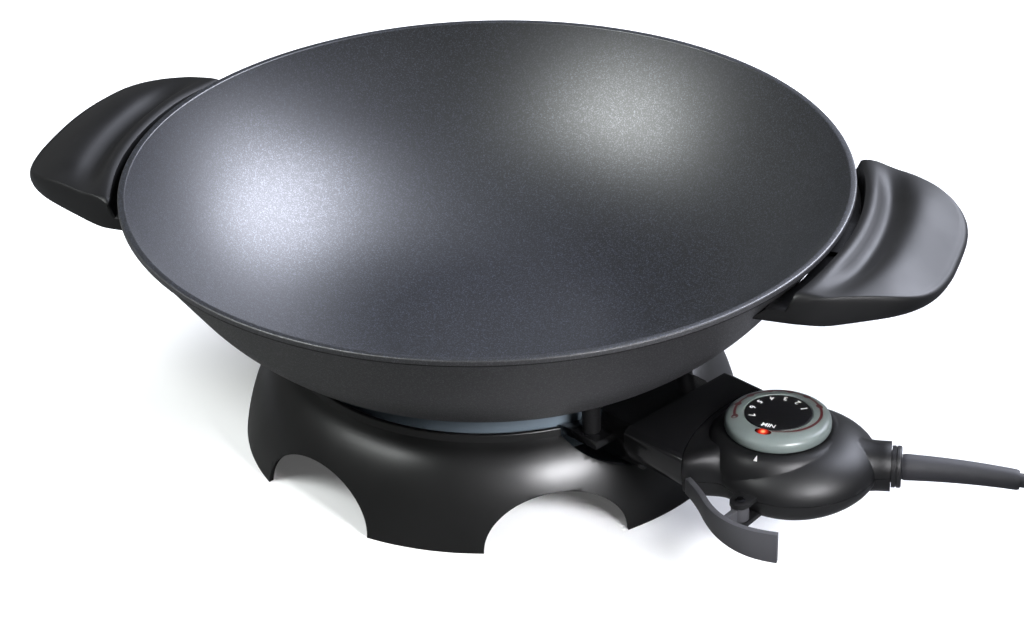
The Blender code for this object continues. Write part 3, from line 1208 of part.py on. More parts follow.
def make_contact_block(materials, arm):
    """The insulating block with its receptacles, the probe and the earth strip."""
    profile = [(-BLOCK_HALF, BLOCK_BOTTOM + BLOCK_ROUND), (BLOCK_ROUND - BLOCK_HALF, BLOCK_BOTTOM),
               (BLOCK_HALF - BLOCK_ROUND, BLOCK_BOTTOM), (BLOCK_HALF, BLOCK_BOTTOM + BLOCK_ROUND),
               (BLOCK_HALF, BLOCK_TOP - BLOCK_ROUND), (BLOCK_HALF - BLOCK_ROUND, BLOCK_TOP),
               (BLOCK_ROUND - BLOCK_HALF, BLOCK_TOP), (-BLOCK_HALF, BLOCK_TOP - BLOCK_ROUND)]
    body = add_object("contact_block", extrude_outline(profile, BLOCK_START, BLOCK_END, axis="X"),
                      materials["block"], arm)
    tail = SOCKET_RADIUS / 3
    bores = [rod(PROBE_RADIUS + GAP, BLOCK_START - OVERRUN, BLOCK_END + OVERRUN, axis="X",
                 centre=(0.0, ELEMENT_Z)),
             block((BLOCK_START - OVERRUN, -EARTH_STRIP_WIDTH / 2 - GAP, STRIP_BOTTOM - GAP),
                   (BLOCK_END + OVERRUN, EARTH_STRIP_WIDTH / 2 + GAP,
                    STRIP_BOTTOM + EARTH_STRIP_THICKNESS + GAP))]
    sockets = []
    for side in (-1, 1):
        centre = (side * PIN_SPREAD, ELEMENT_Z)
        bores.append(rod(SOCKET_RADIUS + GAP, BLOCK_START - OVERRUN, SOCKET_END + GAP, axis="X",
                         centre=centre))
        sockets.append(lay_along_x(lathe([
            (0.0, SOCKET_END - OVERRUN), (PIN_RADIUS + GAP, SOCKET_END - OVERRUN),
            (PIN_RADIUS + GAP, SOCKET_START), (SOCKET_RADIUS, SOCKET_START),
            (SOCKET_RADIUS, SOCKET_END), (tail, SOCKET_END), (tail, SOCKET_TAIL),
            (0.0, SOCKET_TAIL)], ROD_SIDES), centre))
    combine(body, add_object("block_bores", join_shapes(bores), parent=arm), "DIFFERENCE")
    tails = [rod(tail + GAP, SOCKET_END - GAP, BLOCK_END + OVERRUN, axis="X",
                 centre=(side * PIN_SPREAD, ELEMENT_Z), segments=HOLE_SIDES) for side in (-1, 1)]
    combine(body, add_object("block_tail_bores", join_shapes(tails), parent=arm), "DIFFERENCE")
    add_each("pin_receptacle", sockets, materials["brass"], arm)
    probe = lay_along_x(lathe([
        (0.0, PROBE_START), (PROBE_RADIUS - PROBE_WALL, PROBE_START),
        (PROBE_RADIUS, PROBE_START + PROBE_WALL), (PROBE_RADIUS, BLOCK_END),
        (PROBE_RADIUS - PROBE_WALL, BLOCK_END), (PROBE_RADIUS - PROBE_WALL, PROBE_START + PROBE_WALL * 2),
        (0.0, PROBE_START + PROBE_WALL * 2)], ROD_SIDES), (0.0, ELEMENT_Z))
    add_object("probe_tube", probe, materials["steel"], arm)
    push = rod(PUSH_ROD_RADIUS, PROBE_START + PROBE_WALL * 2 + GAP, PUSH_ROD_END, axis="X",
               centre=(0.0, ELEMENT_Z), segments=HOLE_SIDES)
    add_object("push_rod", push, materials["ceramic"], arm)
    strip = block((BLOCK_START - EARTH_STRIP_REACH, -EARTH_STRIP_WIDTH / 2, STRIP_BOTTOM),
                  (STRIP_END, EARTH_STRIP_WIDTH / 2, STRIP_BOTTOM + EARTH_STRIP_THICKNESS))
    add_object("earth_strip", strip, materials["nickel"], arm)


def make_thermostat(materials, arm):
    """The switch: a frame, a stack with two sprung blades, the lamp and its resistor."""
    start, end = FRAME_START, FRAME_START + FRAME_LENGTH
    low, high = FRAME_BOTTOM, FRAME_TOP
    outline = [(start, low), (end, low), (end, high), (start, high), (start, high - FRAME_SHEET),
               (end - FRAME_SHEET, high - FRAME_SHEET), (end - FRAME_SHEET, low + FRAME_SHEET),
               (start, low + FRAME_SHEET)]
    shape = extrude_outline([(z, u) for u, z in outline], -FRAME_WIDTH / 2, FRAME_WIDTH / 2, axis="X")
    for vertex in shape.verts:
        v, z, u = vertex.co
        vertex.co = (u, v, z)
    frame = add_object("thermostat_frame", shape, materials["nickel"], arm)
    window = block((end - FRAME_SHEET - GAP * 2, -BLADE_WIDTH, FIXED_BLADE_Z - OVERRUN),
                   (end + OVERRUN, BLADE_WIDTH, MOVING_BLADE_Z + OVERRUN))
    combine(frame, add_object("frame_window", window, parent=arm), "DIFFERENCE")
    spindle_hole = rod(SPINDLE_RADIUS + GAP, high - FRAME_SHEET - OVERRUN / 2, high + OVERRUN,
                       centre=(DIAL_U, DIAL_V))
    combine(frame, add_object("frame_spindle_hole", spindle_hole, parent=arm), "DIFFERENCE")
    stack_start = end - FRAME_SHEET - GAP - STACK_LENGTH
    stack = add_object("contact_stack", block(
        (stack_start, -STACK_WIDTH / 2, low + FRAME_SHEET + GAP),
        (stack_start + STACK_LENGTH, STACK_WIDTH / 2, high - FRAME_SHEET - GAP)),
        materials["ceramic"], arm)
    half = BLADE_WIDTH / 2
    slots = [block((stack_start - OVERRUN, -half - GAP, z - GAP),
                   (stack_start + STACK_LENGTH + OVERRUN, half + GAP, z + BLADE_THICKNESS + GAP))
             for z in (FIXED_BLADE_Z, MOVING_BLADE_Z)]
    combine(stack, add_object("stack_slots", join_shapes(slots), parent=arm), "DIFFERENCE")
    rivet_u = stack_start - CONTACT_OFFSET
    fixed = add_object("fixed_contact", block((rivet_u - half, -half, FIXED_BLADE_Z),
                                              (end, half, FIXED_BLADE_Z + BLADE_THICKNESS)),
                       materials["brass"], arm)
    rivet = rod(CONTACT_RADIUS, FIXED_BLADE_Z + BLADE_THICKNESS / 2,
                FIXED_BLADE_Z + BLADE_THICKNESS + CONTACT_HEIGHT, centre=(rivet_u, 0.0))
    combine(fixed, add_object("fixed_rivet", rivet, parent=arm), "UNION")
    nose = MOVING_BLADE_NOSE
    outline = [(nose, MOVING_BLADE_Z + BLADE_THICKNESS), (nose, ELEMENT_Z - PUSH_ROD_RADIUS),
               (nose + BLADE_THICKNESS, ELEMENT_Z - PUSH_ROD_RADIUS),
               (nose + BLADE_THICKNESS, MOVING_BLADE_Z), (end, MOVING_BLADE_Z),
               (end, MOVING_BLADE_Z + BLADE_THICKNESS)]
    shape = extrude_outline([(z, u) for u, z in outline], -half, half, axis="X")
    for vertex in shape.verts:
        v, z, u = vertex.co
        vertex.co = (u, v, z)
    moving = add_object("moving_contact", shape, materials["brass"], arm)
    rivet = rod(CONTACT_RADIUS, MOVING_BLADE_Z - CONTACT_HEIGHT,
                MOVING_BLADE_Z + BLADE_THICKNESS / 2, centre=(rivet_u, 0.0))
    combine(moving, add_object("moving_rivet", rivet, parent=arm), "UNION")
    lamp_bottom = FRAME_TOP + GAP
    add_object("pilot_lamp", rod(LAMP_RADIUS, lamp_bottom, PEDESTAL_HEIGHT - GAP,
                                 centre=lamp_place()), materials["lamp"], arm)
    resistor = rod(RESISTOR_RADIUS, start, start + RESISTOR_LENGTH, axis="X",
                   centre=(lamp_place()[1], lamp_bottom + RESISTOR_RADIUS), segments=HOLE_SIDES)
    add_object("lamp_resistor", resistor, materials["ceramic"], arm)


def make_leads(materials, arm):
    """The insulated wires between the cord's cores, the contacts and the receptacles."""
    cos, sin = math.cos(NECK_BEARING), math.sin(NECK_BEARING)
    u = BULB_U + (JACKET_START - GAP) * cos
    v = BULB_V + (JACKET_START - GAP) * sin
    side = CORE_SPREAD
    starts = {"live": (u + side * sin, v - side * cos, PARTING - side / 2),
              "neutral": (u - side * sin, v + side * cos, PARTING - side / 2),
              "earth": (u, v, PARTING + side)}
    near = {name: (spot[0] - LEAD_STRAIGHT * cos, spot[1] - LEAD_STRAIGHT * sin, spot[2])
            for name, spot in starts.items()}
    blade_end = FRAME_START + FRAME_LENGTH + GAP
    blade_z = FIXED_BLADE_Z + BLADE_THICKNESS / 2
    upper_z = MOVING_BLADE_Z + BLADE_THICKNESS / 2
    strip_z = STRIP_BOTTOM + EARTH_STRIP_THICKNESS / 2
    tail = SOCKET_TAIL + GAP
    routes = {
        "live_lead": [starts["live"], near["live"], (blade_end + LEAD_STRAIGHT, v * 0.4, PARTING - side),
                      (blade_end + LEAD_STRAIGHT * 0.8, LEAD_STRAIGHT * 0.3, blade_z),
                      (blade_end + LEAD_STRAIGHT * 0.3, 0.0, blade_z), (blade_end, 0.0, blade_z)],
        "neutral_lead": [starts["neutral"], near["neutral"],
                         (DIAL_U + LEAD_STRAIGHT * 2, FRAME_WIDTH * 0.8, ELEMENT_Z + side),
                         (DIAL_U, FRAME_WIDTH * 0.66, ELEMENT_Z),
                         (tail + LEAD_STRAIGHT * 0.4, PIN_SPREAD, ELEMENT_Z),
                         (tail, PIN_SPREAD, ELEMENT_Z)],
        "earth_lead": [starts["earth"], near["earth"],
                       (DIAL_U + LEAD_STRAIGHT * 2, FRAME_WIDTH * 0.75, strip_z),
                       (DIAL_U - side, FRAME_WIDTH * 0.58, strip_z),
                       (DIAL_U - LEAD_STRAIGHT, DIAL_V * 0.7, strip_z),
                       (STRIP_END + GAP + side, 0.0, strip_z), (STRIP_END + GAP, 0.0, strip_z)],
        "link_lead": [(blade_end, 0.0, upper_z), (blade_end + side, 0.0, upper_z),
                      (blade_end + side * 1.3, -FRAME_WIDTH * 0.25, upper_z),
                      (blade_end + side * 1.2, -FRAME_WIDTH * 0.5, upper_z),
                      (blade_end - LEAD_STRAIGHT * 0.5, -FRAME_WIDTH * 0.64, upper_z),
                      (DIAL_U, -FRAME_WIDTH * 0.64, ELEMENT_Z + side),
                      (tail + LEAD_STRAIGHT * 0.4, -PIN_SPREAD, ELEMENT_Z),
                      (tail, -PIN_SPREAD, ELEMENT_Z)],
    }
    for name, route in routes.items():
        path = smooth_path(route, LEAD_RADIUS * 4)
        add_tube(name, path, LEAD_RADIUS, materials[name], arm, sides=1)


def make_cord_exit(materials, arm, neck):
    """The jacket's end inside, its clamp, the gland and the flexible strain relief."""
    jacket = rod(CORD_RADIUS, JACKET_START, NECK_END + GLAND_LENGTH, axis="X",
                 centre=(0.0, PARTING), segments=BOSS_SIDES)
    add_object("cord_jacket_end", jacket, materials["cord"], neck)
    base = PARTING + GAP / 2
    lift = math.asin((base - PARTING) / (CORD_RADIUS + GAP))
    groove = arc_points((0.0, PARTING), CORD_RADIUS + GAP, math.pi - lift, lift, CORNER_STEPS * 2)
    outline = [(-CLAMP_LENGTH / 2, base), *groove, (CLAMP_LENGTH / 2, base),
               (CLAMP_LENGTH / 2, base + CLAMP_HEIGHT), (-CLAMP_LENGTH / 2, base + CLAMP_HEIGHT)]
    clamp = add_object("cord_clamp", extrude_outline(
        outline, CLAMP_DISTANCE - CLAMP_WIDTH / 2, CLAMP_DISTANCE + CLAMP_WIDTH / 2, axis="X"),
        materials["block"], neck)
    holes = []
    for side in (-1, 1):
        holes.append(rod(SMALL_SHANK + GAP, PARTING - OVERRUN, PARTING + CLAMP_HEIGHT + OVERRUN,
                         centre=(CLAMP_DISTANCE, side * CLAMP_SPREAD), segments=HOLE_SIDES))
    combine(clamp, add_object("clamp_holes", join_shapes(holes), parent=neck), "DIFFERENCE")
    seat = base + CLAMP_HEIGHT + GAP
    screws = [screw_shape((*centre, seat), seat - CLAMP_SCREW_TIP, False, SMALL_SCREW_SHARE)
              for centre in clamp_screw_places()]
    add_each("clamp_screw", screws, materials["steel"], arm)
    ring = NECK_END + GAP
    bore = CORD_RADIUS + GAP
    gland = lathe([(bore, ring - GLAND_SPIGOT), (NECK_BORE - GAP, ring - GLAND_SPIGOT),
                   (NECK_BORE - GAP, ring), (GLAND_RADIUS, ring),
                   (GLAND_RADIUS, ring + GLAND_LENGTH - GLAND_ROUND),
                   (GLAND_RADIUS - GLAND_ROUND, ring + GLAND_LENGTH), (bore, ring + GLAND_LENGTH)],
                  NECK_SIDES)
    add_object("cord_gland", lay_along_x(gland, (0.0, PARTING)), materials["gland"], neck)
    start = ring + GLAND_LENGTH + GAP
    points = []
    tapers = []
    for step in range(RELIEF_STEPS + 1):
        share = step / RELIEF_STEPS
        points.append((start + RELIEF_LENGTH * share, 0.0, PARTING - RELIEF_DROOP * share ** 2))
        tapers.append(mix(1.0, RELIEF_TIP_RADIUS / RELIEF_ROOT_RADIUS, share))
    add_tube("strain_relief", points, RELIEF_ROOT_RADIUS, materials["cord"], neck, tapers=tapers)


def coil_path():
    """Centre line of the coil: one tube that spirals in and out, down from layer to layer."""
    entry = LEAD_START + LEAD_REACH + GAP
    middle = (COIL_OUTER + COIL_INNER) / 2
    swing = (COIL_OUTER - COIL_INNER) / 2
    centre = (entry + CORD_RADIUS * 2, -COIL_OUTER)
    path = [(entry, 0.0, COIL_TOP)]
    count = round(COIL_TURNS * COIL_SIDES)
    layer_turns = COIL_TURNS / COIL_LAYERS
    for step in range(count + 1):
        turns = COIL_TURNS * step / count
        radius = middle + swing * math.cos(math.pi * turns / layer_turns)
        height = COIL_TOP
        for layer in range(1, COIL_LAYERS):
            height -= COIL_STEP * smoothstep((turns - layer * layer_turns) * 2 + 0.5)
        bearing = math.pi / 2 - 2 * math.pi * turns
        path.append((centre[0] + radius * math.cos(bearing),
                     centre[1] + radius * math.sin(bearing), height))
    path.append((path[-1][0], path[-1][1] - CORD_RADIUS * 2, CORD_REST))
    return path


def least_gap(path):
    """Least clear distance between a tube and itself, away from its own neighbourhood."""
    least = COIL_OUTER
    apart = COIL_SIDES // 2
    spots = [Vector(spot) for spot in path]
    for index, spot in enumerate(spots):
        for here, there in zip(spots[index + apart:], spots[index + apart + 1:]):
            run = there - here
            share = max(0.0, min(1.0, (spot - here).dot(run) / run.length_squared))
            least = min(least, (here + run * share - spot).length)
    return least - CORD_RADIUS * 2


def make_cord(materials, neck):
    """The free lead, the stored coil, the tail and the plug."""
    tip = PARTING - RELIEF_DROOP
    lead = [(LEAD_START + LEAD_REACH * share, 0.0, mix(COIL_TOP, tip, height))
            for share, height in LEAD_ROUTE_SHARES]
    add_tube("cord_lead", smooth_path(lead, CORD_RADIUS * 5), CORD_RADIUS, materials["cord"], neck)
    coil = coil_path()
    add_tube("cord_coil", coil, CORD_RADIUS, materials["cord"], neck, sides=1)
    print(f"least gap between the coil's turns: {least_gap(coil) / MM:.2f} mm")
    x, y, _ = coil[-1]
    tail = [(x, y - GAP - TAIL_REACH * share, mix(CORD_REST, PLUG_RADIUS, height))
            for share, height in TAIL_ROUTE_SHARES]
    add_tube("cord_tail", smooth_path(tail, CORD_RADIUS * 5), CORD_RADIUS, materials["cord"], neck)
    make_plug(materials, neck, x, y - GAP * 2 - TAIL_REACH)


def turn_to_plug(shape, x, y):
    """Lay a body that stands along Z so that it points away along -Y at the plug's height."""
    for vertex in shape.verts:
        across, up, along = vertex.co
        vertex.co = (x + across, y - along, PLUG_RADIUS + up)
    return shape


def make_plug(materials, neck, x, y):
    """A round earthed plug lying on its side, with two pins and two side clips."""
    full = PLUG_LENGTH
    profile = [(PLUG_RADIUS * out, PLUG_LENGTH * along) for out, along in PLUG_PROFILE_SHARES]
    shape = turn_to_plug(lathe(profile, PLUG_SIDES), x, y)
    body = add_object("plug_body", shape, materials["plug"], neck)
    half = CLIP_WIDTH / 2
    slots = []
    clips = []
    for side in (-1, 1):
        low, high = sorted((side * (PLUG_RADIUS - CLIP_DEPTH), side * (PLUG_RADIUS + OVERRUN)))
        slots.append(turn_to_plug(block((-half, low, full - CLIP_LENGTH),
                                        (half, high, full + OVERRUN)), x, y))
        low, high = sorted((side * (PLUG_RADIUS - CLIP_DEPTH + GAP),
                            side * (PLUG_RADIUS - CLIP_DEPTH / 2)))
        clips.append(turn_to_plug(block((GAP - half, low, full - CLIP_LENGTH + GAP),
                                        (half - GAP, high, full)), x, y))
    combine(body, add_object("plug_slots", join_shapes(slots), parent=neck), "DIFFERENCE")
    add_each("plug_clip", clips, materials["nickel"], neck)
    pins = []
    for side in (-1, 1):
        pin = lathe([(0.0, full + GAP), (PLUG_PIN_RADIUS, full + GAP),
                     (PLUG_PIN_RADIUS, full + PLUG_PIN_LENGTH - PLUG_PIN_RADIUS),
                     (PLUG_PIN_RADIUS / 2, full + PLUG_PIN_LENGTH), (0.0, full + PLUG_PIN_LENGTH)],
                    ROD_SIDES)
        bmesh.ops.translate(pin, vec=(side * PLUG_PIN_SPREAD, 0, 0), verts=pin.verts)
        pins.append(turn_to_plug(pin, x, y))
    add_each("plug_pin", pins, materials["nickel"], neck)


def make_dial(materials, dial):
    """The dial: a ring and a numbered disc on a spindle."""
    low = PEDESTAL_HEIGHT + GAP
    ring = [(mix(DIAL_RING_INNER, DIAL_RADIUS, out), mix(low, DIAL_HEIGHT, up))
            for out, up in DIAL_RING_SHARES]
    add_object("dial_ring", lathe(ring, DIAL_SIDES), materials["ring"], dial)
    disc_radius = DIAL_RING_INNER - GAP
    disc_low = DIAL_HEIGHT - DIAL_DISC_THICKNESS
    hub_low = DIAL_HEIGHT - DIAL_HUB_DEPTH
    bore = SPINDLE_RADIUS + GAP
    disc = lathe([(0.0, disc_low), (bore, disc_low), (bore, hub_low), (DIAL_HUB_RADIUS, hub_low),
                  (DIAL_HUB_RADIUS, disc_low), (disc_radius, disc_low),
                  (disc_radius, DIAL_HEIGHT - DIAL_DISC_ROUND),
                  (disc_radius - DIAL_DISC_ROUND, DIAL_HEIGHT), (0.0, DIAL_HEIGHT)], DISC_SIDES)
    add_object("dial_disc", disc, materials["disc"], dial)
    spindle = rod(SPINDLE_RADIUS, FRAME_BOTTOM + FRAME_SHEET + GAP, disc_low - GAP)
    add_object("dial_spindle", spindle, materials["steel"], dial)


def make_lever(materials, lever, arm):
    """The squeeze lever: a curved band with a hub that turns on a pin."""
    rings = []
    spots = [Vector(spot) for spot in LEVER_PATH]
    run = sum((there - here).length for here, there in zip(spots, spots[1:]))
    walked = 0.0
    for index, spot in enumerate(spots):
        before = spots[max(0, index - 1)]
        after = spots[min(len(spots) - 1, index + 1)]
        along = (after - before).normalized()
        walked += (spot - before).length
        across = Vector((-along.y, along.x)) * LEVER_THICKNESS / 2
        depth = mix(LEVER_NOSE_DEPTH, LEVER_DEPTH, smoothstep(walked / run))
        low = LEVER_TOP - depth
        left, right = spot + across, spot - across
        rings.append([(left.x, left.y, low), (left.x, left.y, LEVER_TOP),
                      (right.x, right.y, LEVER_TOP), (right.x, right.y, low)])
    band = add_object("release_lever", bridge_rings(rings), materials["lever"], lever)
    middle = spots[len(spots) // 2]
    side = Vector((-middle.y, middle.x)).normalized() * LEVER_THICKNESS / 2
    web = extrude_outline([(side.x, side.y), (middle.x + side.x, middle.y + side.y),
                           (middle.x - side.x, middle.y - side.y), (-side.x, -side.y)],
                          LEVER_HUB_BOTTOM + GAP, LEVER_HUB_TOP - GAP)
    combine(band, add_object("lever_web", web, parent=lever), "UNION")
    hub = rod(LEVER_HUB_RADIUS, LEVER_HUB_BOTTOM, LEVER_HUB_TOP, segments=NECK_SIDES)
    combine(band, add_object("lever_hub", hub, parent=lever), "UNION")
    bore = rod(LEVER_PIN_RADIUS + GAP, LEVER_HUB_BOTTOM - OVERRUN, LEVER_HUB_TOP + OVERRUN)
    combine(band, add_object("lever_bore", bore, parent=lever), "DIFFERENCE")
    top = PARTING + LEVER_EAR_THICKNESS
    low = LEVER_HUB_BOTTOM - GAP - LEVER_EAR_THICKNESS
    seat = top + GAP
    crown = seat + LEVER_PIN_RADIUS / 2
    pin = lathe([(0.0, low), (LEVER_PIN_RADIUS, low), (LEVER_PIN_RADIUS, seat),
                 (LEVER_PIN_HEAD, seat), (LEVER_PIN_RADIUS, crown), (0.0, crown)], ROD_SIDES)
    add_object("lever_pin", pin, materials["steel"], lever_seat(arm))


def lever_seat(arm):
    """An empty on the lever's axis that stays with the controller."""
    return add_empty("lever_seat", arm, (LEVER_PIVOT_U, LEVER_PIVOT_V, 0.0))


def make_materials():
    """Colours, roughness and metallic values of the pieces."""
    return {
        "bowl": make_material("nonstick_coating", (0.045, 0.046, 0.050), 0.42, 0.35),
        "steel": make_material("stainless_steel", (0.46, 0.46, 0.45), 0.34, 1.0),
        "nickel": make_material("nickel_plate", (0.62, 0.60, 0.56), 0.28, 1.0),
        "brass": make_material("brass", (0.72, 0.52, 0.22), 0.32, 1.0),
        "ceramic": make_material("white_ceramic", (0.78, 0.77, 0.73), 0.55),
        "reflector": make_material("aluminised_steel", (0.30, 0.33, 0.37), 0.38, 0.9),
        "stand": make_material("black_moulding", (0.012, 0.012, 0.013), 0.42),
        "shroud": make_material("gloss_black_moulding", (0.008, 0.008, 0.009), 0.22),
        "handle": make_material("handle_moulding", (0.014, 0.014, 0.015), 0.40),
        "housing": make_material("controller_moulding", (0.010, 0.010, 0.011), 0.30),
        "block": make_material("dark_phenolic", (0.030, 0.026, 0.024), 0.55),
        "ring": make_material("translucent_ring", (0.24, 0.29, 0.29), 0.24),
        "disc": make_material("dial_face", (0.020, 0.021, 0.022), 0.40),
        "lamp": make_material("lamp_glass", (0.80, 0.20, 0.10), 0.20),
        "lever": make_material("lever_moulding", (0.055, 0.055, 0.058), 0.45),
        "gland": make_material("gland_moulding", (0.018, 0.018, 0.019), 0.50),
        "cord": make_material("rubber_sheath", (0.042, 0.042, 0.046), 0.60),
        "plug": make_material("plug_rubber", (0.030, 0.030, 0.032), 0.58),
        "live_lead": make_material("brown_insulation", (0.16, 0.07, 0.03), 0.50),
        "neutral_lead": make_material("blue_insulation", (0.05, 0.13, 0.42), 0.50),
        "earth_lead": make_material("green_insulation", (0.10, 0.34, 0.08), 0.50),
        "link_lead": make_material("white_insulation", (0.70, 0.70, 0.68), 0.50),
    }


def main():
    """Build the whole wok."""
    clear_scene()
    materials = make_materials()
    arm = add_empty("arm_axis", turn=ARM_BEARING)
    neck = add_empty("neck_axis", arm, (BULB_U, BULB_V, 0.0), NECK_BEARING)
    dial = add_empty("dial_axis", arm, (DIAL_U, DIAL_V, 0.0))
    lever = add_empty("lever_axis", arm, (LEVER_PIVOT_U, LEVER_PIVOT_V, 0.0))
    make_bowl(materials["bowl"], arm)
    make_heating(materials, arm)
    make_reflector(materials["reflector"], arm)
    add_each("stand_screw", make_stand(materials["stand"], arm), materials["steel"], arm)
    add_each("shroud_screw", make_shroud(materials["shroud"], arm), materials["steel"], arm)
    screws = [make_handle("right_handle", 1, materials["handle"]),
              make_handle("left_handle", -1, materials["handle"])]
    add_each("handle_screw", screws, materials["steel"])
    make_upper_housing(materials["housing"], arm, neck)
    make_lower_housing(materials["housing"], arm, neck)
    screws = [screw_shape((*centre, HOUSING_SCREW_SEAT - GAP), HOUSING_SCREW_TIP - HOUSING_SCREW_SEAT)
              for centre in boss_places()]
    add_each("housing_screw", screws, materials["steel"], arm)
    make_contact_block(materials, arm)
    make_thermostat(materials, arm)
    make_leads(materials, arm)
    make_cord_exit(materials, arm, neck)
    make_cord(materials, neck)
    make_dial(materials, dial)
    make_lever(materials, lever, arm)


main()
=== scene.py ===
"""Looks of an electric wok: its finishes, modelled surfaces, cord, studio and camera.

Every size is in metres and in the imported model's own frame. The terminal shroud and the controller
lie along an arm that leaves the wok's axis, so their pieces are shaped in the arm's frame (u out
along the arm, v to its left, z up) and then turned with it.
"""

from __future__ import annotations

import json
import logging
import math
from dataclasses import dataclass
from enum import Enum
from typing import Any, Callable, Iterable, Sequence

import bpy
from mathutils import Matrix, Vector

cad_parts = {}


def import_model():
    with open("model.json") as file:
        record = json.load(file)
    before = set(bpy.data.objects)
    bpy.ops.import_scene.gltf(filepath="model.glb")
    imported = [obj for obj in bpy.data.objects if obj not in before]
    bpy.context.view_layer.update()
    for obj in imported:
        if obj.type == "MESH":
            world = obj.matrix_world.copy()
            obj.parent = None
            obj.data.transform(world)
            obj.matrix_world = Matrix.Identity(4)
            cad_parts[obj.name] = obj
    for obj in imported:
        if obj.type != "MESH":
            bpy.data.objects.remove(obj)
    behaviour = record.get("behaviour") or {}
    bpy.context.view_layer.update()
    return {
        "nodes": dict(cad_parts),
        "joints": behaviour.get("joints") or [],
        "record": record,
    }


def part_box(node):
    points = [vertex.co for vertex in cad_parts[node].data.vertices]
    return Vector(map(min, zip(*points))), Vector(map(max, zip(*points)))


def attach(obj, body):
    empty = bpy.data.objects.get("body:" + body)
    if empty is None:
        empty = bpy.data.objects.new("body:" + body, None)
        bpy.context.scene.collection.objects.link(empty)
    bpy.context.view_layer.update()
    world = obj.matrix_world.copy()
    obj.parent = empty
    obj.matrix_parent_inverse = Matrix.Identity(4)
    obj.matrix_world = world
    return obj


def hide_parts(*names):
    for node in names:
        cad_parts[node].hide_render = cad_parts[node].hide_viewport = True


LOG = logging.getLogger("wok")
MM = 0.001
MERGE = 0.000002
GAP = 0.3 * MM
OVERRUN = 2.0 * MM
# Thickness of a printed or lit film, and how far each stands over its ground
FILM = 0.02 * MM
PRINT_LIFT = 0.05 * MM
LIGHT_LIFT = 0.09 * MM
# Top of the upright cutters, well over every piece, and the height that films are dropped from
CUTTER_TOP = 140.0 * MM
DROP_HEIGHT = 200.0 * MM
# Places in the arm's frame that several sub-assemblies share
RIM_RADIUS = 186.0 * MM
PARTING = 51.0 * MM
BULB_AXIS = (196.0 * MM, 13.0 * MM)
DIAL_AXIS = (188.5 * MM, 9.0 * MM)
DIAL_RADIUS = 25.8 * MM
POINTER_BEARING = -69.5
LEVER_AXIS = (202.5 * MM, -33.6 * MM)
MOUTH_AXIS = (249.0 * MM, 16.6 * MM)
NECK_BEARING = 37.5
CAMERA_BEARING = 18.8
WHITE = (1.0, 1.0, 1.0, 1.0)
# Numbers of the Mix node's colour sockets, because several of its sockets share one name
MIX_FIRST, MIX_SECOND, MIX_RESULT = 6, 7, 2
# Turns a flat outline in X and Y upright, so that what is extruded along Z runs out along X
TURN_UP = Matrix(((0, 0, 1, 0), (1, 0, 0, 0), (0, 1, 0, 0), (0, 0, 0, 1)))

Spot = tuple[float, float]
Point = tuple[float, float, float]
Outline = Sequence[Spot]
Thing = bpy.types.Object


class Cut(Enum):
    """How one body shapes another."""

    ADD = "UNION"
    TAKE = "DIFFERENCE"
    KEEP = "INTERSECT"


class Body(Enum):
    """The bodies that pieces ride on."""

    WOK = "wok"
    CONTROLLER = "controller"
    DIAL = "dial"
    LEVER = "release_lever"


def linear(code: str) -> tuple[float, float, float, float]:
    """Turn an sRGB hex colour into linear values.

    Args:
        code: Six hex digits after a hash.

    Returns:
        Red, green, blue and an alpha of one.
    """
    values = []
    for start in (1, 3, 5):
        share = int(code[start:start + 2], 16) / 255
        values.append(share / 12.92 if share <= 0.04045 else ((share + 0.055) / 1.055) ** 2.4)
    return (*values, 1.0)


def add_node(owner: bpy.types.ID, kind: str, inputs: dict[Any, Any] | None = None,
             links: dict[Any, bpy.types.NodeSocket] | None = None, **settings: Any) -> bpy.types.Node:
    """Add a shader node with its settings and links.

    Args:
        owner: The material or world whose tree gets the node.
        kind: The node's type.
        inputs: Values of its sockets, by name or number.
        links: Sockets that feed it, by name or number.
        settings: Attributes of the node itself.

    Returns:
        The new node.
    """
    node = owner.node_tree.nodes.new(kind)
    for name, value in settings.items():
        setattr(node, name, value)
    for name, value in (inputs or {}).items():
        node.inputs[name].default_value = value
    feed(owner, node, links or {})
    return node


def feed(owner: bpy.types.ID, node: bpy.types.Node, links: dict[Any, bpy.types.NodeSocket]) -> None:
    """Link sockets into a node.

    Args:
        owner: The material or world that holds the node.
        node: The node that is fed.
        links: Sockets that feed it, by the name or number of its own.
    """
    for name, socket in links.items():
        owner.node_tree.links.new(socket, node.inputs[name])


def new_material(name: str, colour: str, **sockets: Any) -> tuple[bpy.types.Material, bpy.types.Node]:
    """Start a material from its shader's own sockets.

    Args:
        name: The finish's name.
        colour: Its base colour as sRGB hex.
        sockets: Shader sockets, with underscores for spaces.

    Returns:
        The material and its Principled shader.
    """
    material = bpy.data.materials.new(name)
    material.use_nodes = True
    shader = material.node_tree.nodes["Principled BSDF"]
    shader.inputs["Base Color"].default_value = linear(colour)
    material.diffuse_color = linear(colour)
    for socket, value in sockets.items():
        shader.inputs[socket.replace("_", " ")].default_value = value
    return material, shader


